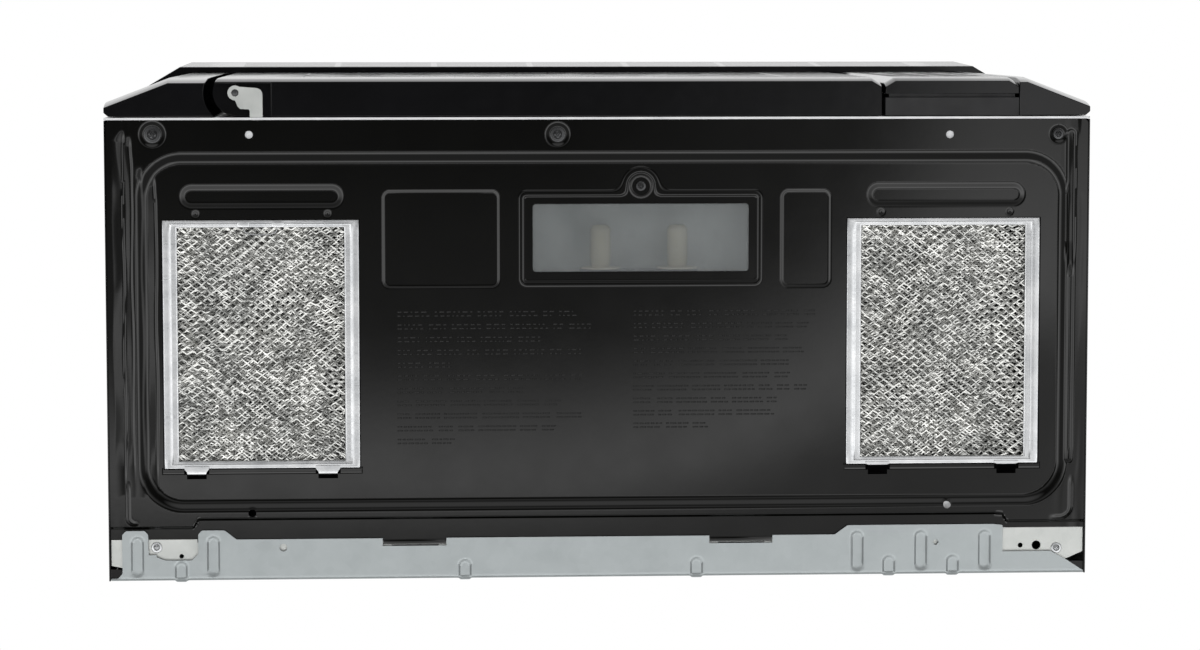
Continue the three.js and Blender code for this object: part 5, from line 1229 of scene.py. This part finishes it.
def buildSockets():
    low, high = boxOf("lamp_socket_bar")
    plan = boxPlan((low[0], high[0]), (low[1] + lamp["setBack"], high[1]))
    bar = makePiece("lampSocketBar", *carried(plan, None, [low[2], high[2]]), "light_plastic",
                    replaced=["lamp_socket_bar"], material=special["lamp_socket_bar"])
    roundEdges(bar, 0.6)
    for side in ("left", "right"):
        low, high = boxOf("lamp_bulb_" + side)
        centre = ((low[0] + high[0]) / 2, 0, (low[2] + high[2]) / 2)
        back = high[1] + lamp["setBack"]
        profile = roundedProfile(moved(bulb["tip"], low[1]) + moved(bulb["neck"], back))
        profile += moved([bulb["end"]], back)
        makePiece(side + "Bulb", *turnedSurface(profile, 40, centre, "y"), "lamp_glass",
                  replaced=["lamp_bulb_" + side], smooth=60)
        profile = roundedProfile(moved(bulb["rim"], back))
        makePiece(side + "SocketRim", *turnedSurface(profile, 48, centre, "y"), "light_plastic", smooth=60,
                  material=special["socket_rim"])


buildLampCover()
buildLens()
buildSockets()
print("lamp made")


# Screws, discs behind the pan's holes, and the relief on the field
screws = {"pan_screw_left": 0.5, "pan_screw_centre": 0.9, "pan_screw_right": 0.2, "lamp_screw": 0.7,
          "flange_screw_left": 0.3, "flange_screw_right": 1.1}
screwProfile = np.array([
    # share of the washer's radius, height
    (0.0, 1.75), (0.1, 1.74), (0.2, 1.7), (0.3, 1.6), (0.36, 1.5), (0.42, 1.38), (0.5, 1.1), (0.56, 0.75),
    (0.6, 0.48), (0.66, 0.42), (0.8, 0.4), (0.9, 0.36), (0.96, 0.26), (1.0, 0.1), (1.0, 0.0),
])
screw = {"sides": 64, "seat": 1.6, "shank": ((1.9, 0.0), (1.9, 5.0), (0.01, 6.0)),
         # half width and half length of the cross in shares of the washer's radius, depth, width of its slope
         "cross": (0.075, 0.36, 0.9, 0.25), "crossFrom": 0.5}


# Rings of points: height falls from crown to washer, less a cross cut into the middle.
def screwSurface(centre, z, washer, turn):
    share, height = screwProfile.T
    angle = np.linspace(0, 2 * math.pi, screw["sides"], endpoint=False)
    r, a = np.meshgrid(share * washer, angle, indexing="ij")
    x, y = r * np.cos(a), r * np.sin(a)
    armX = np.abs(x * math.cos(turn) - y * math.sin(turn))
    armY = np.abs(x * math.sin(turn) + y * math.cos(turn))
    half, reach, depth, width = screw["cross"]
    half, reach = washer * half, washer * reach
    cross = np.maximum(slope(np.maximum(armX - half, armY - reach), width),
                       slope(np.maximum(armY - half, armX - reach), width))
    high = height[:, None] - depth * cross * (height[:, None] > screw["crossFrom"])
    points = np.stack([centre[0] + x, centre[1] + y, z - high], axis=2).reshape(-1, 3)
    side = [np.stack([centre[0] + radius * np.cos(angle), centre[1] + radius * np.sin(angle),
                      np.full(len(angle), z + deep)], axis=1) for radius, deep in screw["shank"]]
    points = np.concatenate([points, *side])
    return points, gridQuads(len(share) + len(side), len(angle), closedColumns=True)


for name, turn in screws.items():
    low, high = boxOf(name)
    first, *others = name.split("_")
    points, faces = screwSurface((low + high)[:2] / 2, low[2] + screw["seat"], (high[0] - low[0]) / 2, turn)
    makePiece(first + "".join(word.title() for word in others), points, faces, "screw_zinc", replaced=[name],
              smooth=28, material=finishes["capacitor_can" if first == "flange" else "screw_zinc"])

discs = {"holes": (0, 1, 3), "radius": 4.6, "clear": 1.15,
         "profile": ((0.01, 0.5), (3.0, 0.45), (4.4, 0.0), (4.6, 0.3), (3.1, 0.9), (0.01, 0.95))}


# A shallow zinc dish over each pan hole but one, where the sheet behind shows through. It clears the highest
# point of the pan round it.
def holeDiscs():
    parts = []
    turn = np.linspace(0, 2 * math.pi, 25)
    for x, y in (pan["holes"][i] for i in discs["holes"]):
        rim = panHeight(x + discs["radius"] * np.cos(turn), y + discs["radius"] * np.sin(turn))
        parts.append(turnedSurface(discs["profile"], 32, (x, y, rim.max() + discs["clear"]), "z"))
    makePiece("holeDiscs", *joined(parts), "zinc_layer", material=finishes["light_frame"])


relief = {
    # left end, front row, row pitch and each row's length
    "blocks": ((-157.0, 151.5, 9.87, (139, 150, 123, 151, 44, 144, 97, 126, 143, 125, 44)),
               (25.5, 151.5, 9.7, (142, 137, 121, 144, 129, 132, 142, 118, 119, 65))),
    "rise": (-1.5, 1.5), "thick": 1.15, "dash": (1.8, 5.0), "apart": 1.1, "word": (9.0, 30.0), "gap": 3.2,
    "proud": 0.65, "sunk": 0.02, "shares": (-1.0, -0.8, 0.0, 0.8, 1.0),
}


# Lying dashes, two deep in each row: a dash stands proud by a dome that falls to nothing at its edge.
def fieldRelief():
    lengthsOf = np.random.default_rng(21)
    gridU, gridV = np.meshgrid(relief["shares"], relief["shares"])
    dome = np.sqrt(np.maximum(0, (1 - np.abs(gridU) ** 3) * (1 - gridV ** 2)))
    height = pan["rise"] + relief["sunk"] - dome * relief["proud"]
    one = gridQuads(*dome.shape)[:, ::-1]
    parts = []
    for left, first, pitch, lengths in relief["blocks"]:
        for row, length in enumerate(lengths):
            x = left
            while x < left + length - relief["word"][0]:
                end = min(x + lengthsOf.uniform(*relief["word"]), left + length)
                for rise in relief["rise"]:
                    at = x
                    while at < end - relief["dash"][0]:
                        half = min(lengthsOf.uniform(*relief["dash"]), end - at) / 2
                        y = behind(first) + row * pitch + rise + gridV * relief["thick"] / 2
                        parts.append((gridPoints(at + half + gridU * half, y, height), one))
                        at += 2 * half + relief["apart"]
                x = end + relief["gap"]
    makePiece("fieldRelief", *joined(parts), "black_enamel", smooth=80)


holeDiscs()
fieldRelief()
print("screws and relief made")


# Fascia: end caps, door and control panel, each a plan carried upwards
pin = (99.9 - sideX, behind(-18.9))
frontY = behind(-30)
doorBackY = behind(-0.8)
doorZ = (1.0, 338.5)
# bevel: across and deep at the front corners; levels: reach and height of the long rounding at the ends
caps = {"corner": sideX - 48.3, "sideCorner": behind(-11.4), "arc": 24.0, "arcFrom": 5.0,
        "backCut": (3.5, 3.0), "right": sideX - 55.2, "levels": (0.0, doorZ[1], 3.6, 26.0), "edge": 0.5}
door = {
    "right": sideX - 162.2, "arc": 17.5, "arcFrom": 4.0, "backFrom": 6.0, "bevel": (7.0, 4.2),
    "levels": (*doorZ, 2.7, 14.0), "edge": 0.45,
    # from the pin, from the right side, from below and from above; front and back of each
    "hollow": (9.6, 8.0, 11.0, 11.0), "hollowY": (frontY + 3, frameY + 2),
    "window": (49.6, 67.3, 69.0, 63.5), "windowY": (frontY - 1, frontY + 4), "windowCorner": 8.0,
    # room for the hinge brackets, and the bores for the pins
    "pocketX": (pin[0] - 35, pin[0] + 27.4), "pocketY": (pin[1] - 7.5, frameY + 1), "pocketDepth": 5.5,
    "bore": (3.3, 24), "boreDepth": 15.5,
}
panel = {
    "ends": (sideX - 159.2, sideX - 55.5), "depth": 12.5, "bevel": (7.0, 4.2), "wall": (2.5, 5.0),
    "levels": (*doorZ, 2.7, 14.0), "edge": 0.4, "fit": 0.3,
    # distances from the panel's left and right end, ranges upwards, depth from the front
    "buttonX": (11.7, 12.0), "buttonZ": (14.0, 46.0), "buttonCorner": 1.5,
    "keypadZ": (62.0, doorZ[1] - 76.5), "keypadY": (frontY - 1, frontY + 0.9),
    "through": (frontY - 1, frontY + 7.5),
    "displayZ": (doorZ[1] - 58.5, doorZ[1] - 26.5), "displayY": (frontY - 1, frontY + 1.9),
    "displayMargin": 4.0,
}


def solidOf(points, faces, name):
    solid = bpy.data.meshes.new(name)
    solid.from_pydata((points * 0.001).tolist(), [], faces)
    made = bpy.data.objects.new(name, solid)
    bpy.context.scene.collection.objects.link(made)
    return made


# The shell less each cutter, worked out once, so that no cutter stays in the scene.
def carvedPiece(name, shell, cutters, body, replaced, edge):
    base = solidOf(*shell, name + "Shell")
    tools = [solidOf(*cutter, name + "Cutter") for cutter in cutters]
    for tool in tools:
        cut = base.modifiers.new("cut", "BOOLEAN")
        cut.operation, cut.solver, cut.object = "DIFFERENCE", "EXACT", tool
    graph = bpy.context.evaluated_depsgraph_get()
    surface = bpy.data.meshes.new_from_object(base.evaluated_get(graph))
    for spent in [base, *tools]:
        bpy.data.objects.remove(spent)
    surface.name = name
    surface.shade_smooth()
    surface.set_sharp_from_angle(angle=math.radians(32))
    surface.materials.clear()
    roundEdges(placePiece(name, surface, "fascia_black", body, [replaced]), edge)


# the angle, between -90 and 90 degrees, at which a circle about the pin comes to a depth
def turnAt(radius, y):
    return math.asin((y - pin[1]) / radius)


def arcPoints(centre, radius, start, end, count):
    angle = np.linspace(start, end, count)
    return list(zip(centre[0] + radius * np.cos(angle), centre[1] + radius * np.sin(angle)))


def frontPoint(radius):
    return pin[0] - radius * math.cos(turnAt(radius, frontY)), frontY


def boxCutter(rangeX, rangeY, rangeZ):
    return carried(boxPlan(rangeX, rangeY), None, rangeZ)


# a rectangle with round corners seen from the front, cut from one depth to another
def roundCutter(rangeX, rangeZ, rangeY, radius):
    plan = []
    for atX, atZ, turn in ((1, 0, -0.5), (1, 1, 0.0), (0, 1, 0.5), (0, 0, 1.0)):
        centre = (rangeX[atX] + (-radius if atX else radius), rangeZ[atZ] + (-radius if atZ else radius))
        plan += arcPoints(centre, radius, turn * math.pi, (turn + 0.5) * math.pi, 7)
    return carried(plan, None, rangeY, upright="y")


def buildEndCaps():
    radius, corner, right = caps["arc"], caps["corner"], caps["right"]
    aside, deep = caps["backCut"]
    arc = [frontPoint(radius), *arcPoints(pin, radius, math.pi - turnAt(radius, frontY + caps["arcFrom"]),
                                          math.pi - turnAt(radius, doorBackY), 16)]
    left = [*arc, (aside - sideX, doorBackY), (-sideX, doorBackY - deep), (-sideX, caps["sideCorner"]),
            (-corner, frontY)]
    shell = carried(left, [0] * len(arc) + [0, 0, 1, 1], edgeLevels(*caps["levels"], top=False))
    carvedPiece("leftEndCap", shell, [], "chassis", "left_end_cap", caps["edge"])
    plan = [(right, doorBackY), (right, frontY), (corner, frontY), (sideX, caps["sideCorner"]),
            (sideX, doorBackY - deep), (sideX - aside, doorBackY)]
    shell = carried(plan, [0, 1, 1, 0, 0, 0], edgeLevels(*caps["levels"], top=False))
    carvedPiece("rightEndCap", shell, [], "chassis", "right_end_cap", caps["edge"])


def buildDoor():
    radius, right = door["arc"], door["right"]
    across, deep = door["bevel"]
    arc = [*arcPoints(pin, radius, math.pi / 2, math.pi - turnAt(radius, frontY + door["arcFrom"]), 16),
           frontPoint(radius)]
    plan = [*arc, (right - across, frontY), (right, frontY + deep), (right, doorBackY),
            (pin[0] + door["backFrom"], doorBackY)]
    hollow, window = [((pin[0] + fromPin, right - fromRight), (doorZ[0] + low, doorZ[1] - high))
                      for fromPin, fromRight, low, high in (door["hollow"], door["window"])]
    radius, sides = door["bore"]
    bore = [(pin[0] + radius * math.cos(a), pin[1] + radius * math.sin(a))
            for a in np.linspace(0, 6.28, sides, endpoint=False)]
    pocket, hole = [((doorZ[0] - 1, doorZ[0] + depth), (doorZ[1] - depth, doorZ[1] + 1))
                    for depth in (door["pocketDepth"], door["boreDepth"])]
    cutters = [boxCutter(hollow[0], door["hollowY"], hollow[1]),
               roundCutter(*window, door["windowY"], door["windowCorner"])]
    cutters += [boxCutter(door["pocketX"], door["pocketY"], rangeZ) for rangeZ in pocket]
    cutters += [carried(bore, None, rangeZ) for rangeZ in hole]
    shell = carried(plan, [0] * (len(arc) - 1) + [1, 1, 0, 0, 0], edgeLevels(*door["levels"]))
    carvedPiece("doorFrame", shell, cutters, "door", "door_frame", door["edge"])


def buildControlPanel():
    left, right = panel["ends"]
    back, fit, margin = frontY + panel["depth"], panel["fit"], panel["displayMargin"]
    across, deep = panel["bevel"]
    plan = [(left, back), (left, frontY + deep), (left + across, frontY), (right - across, frontY),
            (right, frontY + deep), (right, back)]
    buttonX = (left + panel["buttonX"][0], right - panel["buttonX"][1])
    displayX = around(*buttonX, -margin)
    wall, front = panel["wall"]
    buttonZ = around(*panel["buttonZ"], fit)
    cutters = [
        boxCutter(around(left, right, -wall), (frontY + front, back + 1), around(*doorZ, -wall)),
        roundCutter(around(*buttonX, fit), buttonZ, panel["through"], panel["buttonCorner"]),
        boxCutter(around(*buttonX, fit), panel["keypadY"], around(*panel["keypadZ"], fit)),
        boxCutter(around(*displayX, fit), panel["displayY"], around(*panel["displayZ"], fit)),
        boxCutter(around(*displayX, -margin), panel["through"], around(*panel["displayZ"], -margin)),
    ]
    shell = carried(plan, [0, 1, 1, 1, 0, 0], edgeLevels(*panel["levels"]))
    carvedPiece("controlPanel", shell, cutters, "chassis", "control_panel", panel["edge"])


pinEnd = {"z": 1.15, "profile": ((0.01, 0.9), (2.9, 0.9), (2.9, 0.3), (2.75, -0.05), (2.1, -0.5), (1.2, -0.7),
                                 (0.01, -0.75))}


# The dark riveted end of the hinge pin, a low dome under the light bracket.
def hingePin():
    points, faces = turnedSurface(pinEnd["profile"], 32, (*pin, pinEnd["z"]), "z")
    makePiece("hingePinEnd", points, faces, "screw_zinc", smooth=50)


buildEndCaps()
buildDoor()
buildControlPanel()
hingePin()
print("fascia made")


# Keypad and clock: domed strokes on the fascia's front face
strokes = {
    # seven strokes of a number, each as middle, half width and half height in shares of its height
    "a": (0.25, 1.0, 0.19, 0.0), "b": (0.5, 0.75, 0.0, 0.19), "c": (0.5, 0.25, 0.0, 0.19),
    "d": (0.25, 0.0, 0.19, 0.0), "e": (0.0, 0.25, 0.0, 0.19), "f": (0.0, 0.75, 0.0, 0.19),
    "g": (0.25, 0.5, 0.19, 0.0),
}
numbers = ("abcdef", "bc", "abged", "abgcd", "fgbc", "afgcd", "afgedc", "abc", "abcdefg", "abcdfg")
# share of a stroke's half thickness, and share of its height there
strokeProfile = ((1.0, 0.0), (0.85, 0.7), (0.5, 1.0))
keypad = {
    "rows": 11, "columns": 3, "margin": 3.5, "gap": 2.6, "wall": 0.5, "face": 0.45, "grid": (4.0, 0.7),
    "fine": (4, 2),
    # a key: rise, corner, how far inside its edge the slope starts, width and softness of the slope
    "key": (0.35, 2.0, 0.7, 0.9, 0.3),
    # rows with digits, and the height of a digit; other keys have two dashes: place above or below the middle
    "digitRows": (2, 5), "digit": 5.6, "dashes": 1.3, "dash": (5.0, 3.4), "marks": (0.11, 0.55, 0.05),
}
clock = {"digits": ((-21, 1), (-11.5, 2), (4.5, 0), (14.0, 0)), "height": 12.0, "dots": (-0.2, 2.6),
         "marks": (0.02, 1.1, 0.05)}


# Strokes with round ends on a plane facing the front: each is low at its edge and highest along its middle.
def strokeField(lines, faceY, thick, proud):
    sides = 16
    angle = np.linspace(0, 2 * math.pi, sides, endpoint=False)
    endX, endZ = [np.sign(np.round(turned, 6)) for turned in (np.cos(angle), np.sin(angle))]
    count = len(strokeProfile)
    first, last = sides * (count - 1), sides * count - 1
    top = [[first + i, first + i + 1, last - i - 1, last - i] for i in range(sides // 2 - 1)]
    one = np.concatenate([gridQuads(count, sides, closedColumns=True), top])
    parts = []
    for x, z, halfX, halfZ in lines:
        rings = [gridPoints(x + endX * halfX + thick / 2 * share * np.cos(angle),
                            np.full(sides, faceY - proud * rise),
                            z + endZ * halfZ + thick / 2 * share * np.sin(angle))
                 for share, rise in strokeProfile]
        parts.append((np.concatenate(rings), one))
    return joined(parts)


def numberStrokes(digit, left, low, height):
    return [(left + x * height, low + z * height, halfX * height, halfZ * height)
            for x, z, halfX, halfZ in (strokes[name] for name in numbers[digit])]


# the strokes on one key: a digit, nothing beside the 0, or two dashes
def keyMarks(row, column, x, z):
    first, last = keypad["digitRows"]
    height = keypad["digit"]
    if first <= row <= last:
        digit = (last - row) * keypad["columns"] + column + 1 if row > first else 0
        shown = row > first or column == 1
        return numberStrokes(digit, x - height / 4, z - height / 2, height) if shown else []
    long, short = keypad["dash"]
    return [(x, z + keypad["dashes"], long - column, 0.0), (x, z - keypad["dashes"], short, 0.0)]


def buildKeypad():
    low, high = boxOf("keypad_membrane")
    margin, gap = keypad["margin"], keypad["gap"]
    places, lines, sizes = [], [], []
    for i, count in ((0, keypad["columns"]), (2, keypad["rows"])):
        pitch = (high[i] - low[i] - 2 * margin + gap) / count
        starts = [low[i] + margin + step * pitch for step in range(count + 1)]
        zones = [around(start, start, *keypad["fine"]) for start in starts]
        lines.append(gridLines(low[i], high[i], *keypad["grid"], zones))
        places.append(starts[:-1])
        sizes.append(pitch - gap)
    x, z = np.meshgrid(*lines)
    y = np.full_like(x, low[1] + keypad["face"])
    rise, corner, inside, width, soft = keypad["key"]
    marks = []
    for row, bottom in enumerate(places[1]):
        for column, left in enumerate(places[0]):
            ranges = (left, left + sizes[0]), (bottom, bottom + sizes[1])
            y -= rise * slope(slotDistance(x, z, *ranges, corner) + inside, width, soft)
            marks += keyMarks(row, column, *[sum(ends) / 2 for ends in ranges])
    makePiece("keypadMembrane", gridPoints(x, y, z), gridQuads(*x.shape), "matt_black",
              replaced=["keypad_membrane"], wall=high[1] - low[1] - keypad["wall"])
    lift, thick, proud = keypad["marks"]
    makePiece("keypadMarks", *strokeField(marks, low[1] + lift, thick, proud), "matt_black", smooth=80,
              material=finishes["light_plastic"])


def buildClock():
    low, high = boxOf("display_window")
    middleX, middleZ = (low[0] + high[0]) / 2, (low[2] + high[2]) / 2
    height = clock["height"]
    marks = []
    for place, digit in clock["digits"]:
        marks += numberStrokes(digit, middleX + place, middleZ - height / 2, height)
    aside, apart = clock["dots"]
    marks += [(middleX + aside, middleZ + side, 0.0, 0.0) for side in (-apart, apart)]
    lift, thick, proud = clock["marks"]
    makePiece("clockStrokes", *strokeField(marks, low[1] + lift, thick, proud), "matt_black", smooth=80,
              material=special["clock"])


buildKeypad()
buildClock()
print("keypad made")
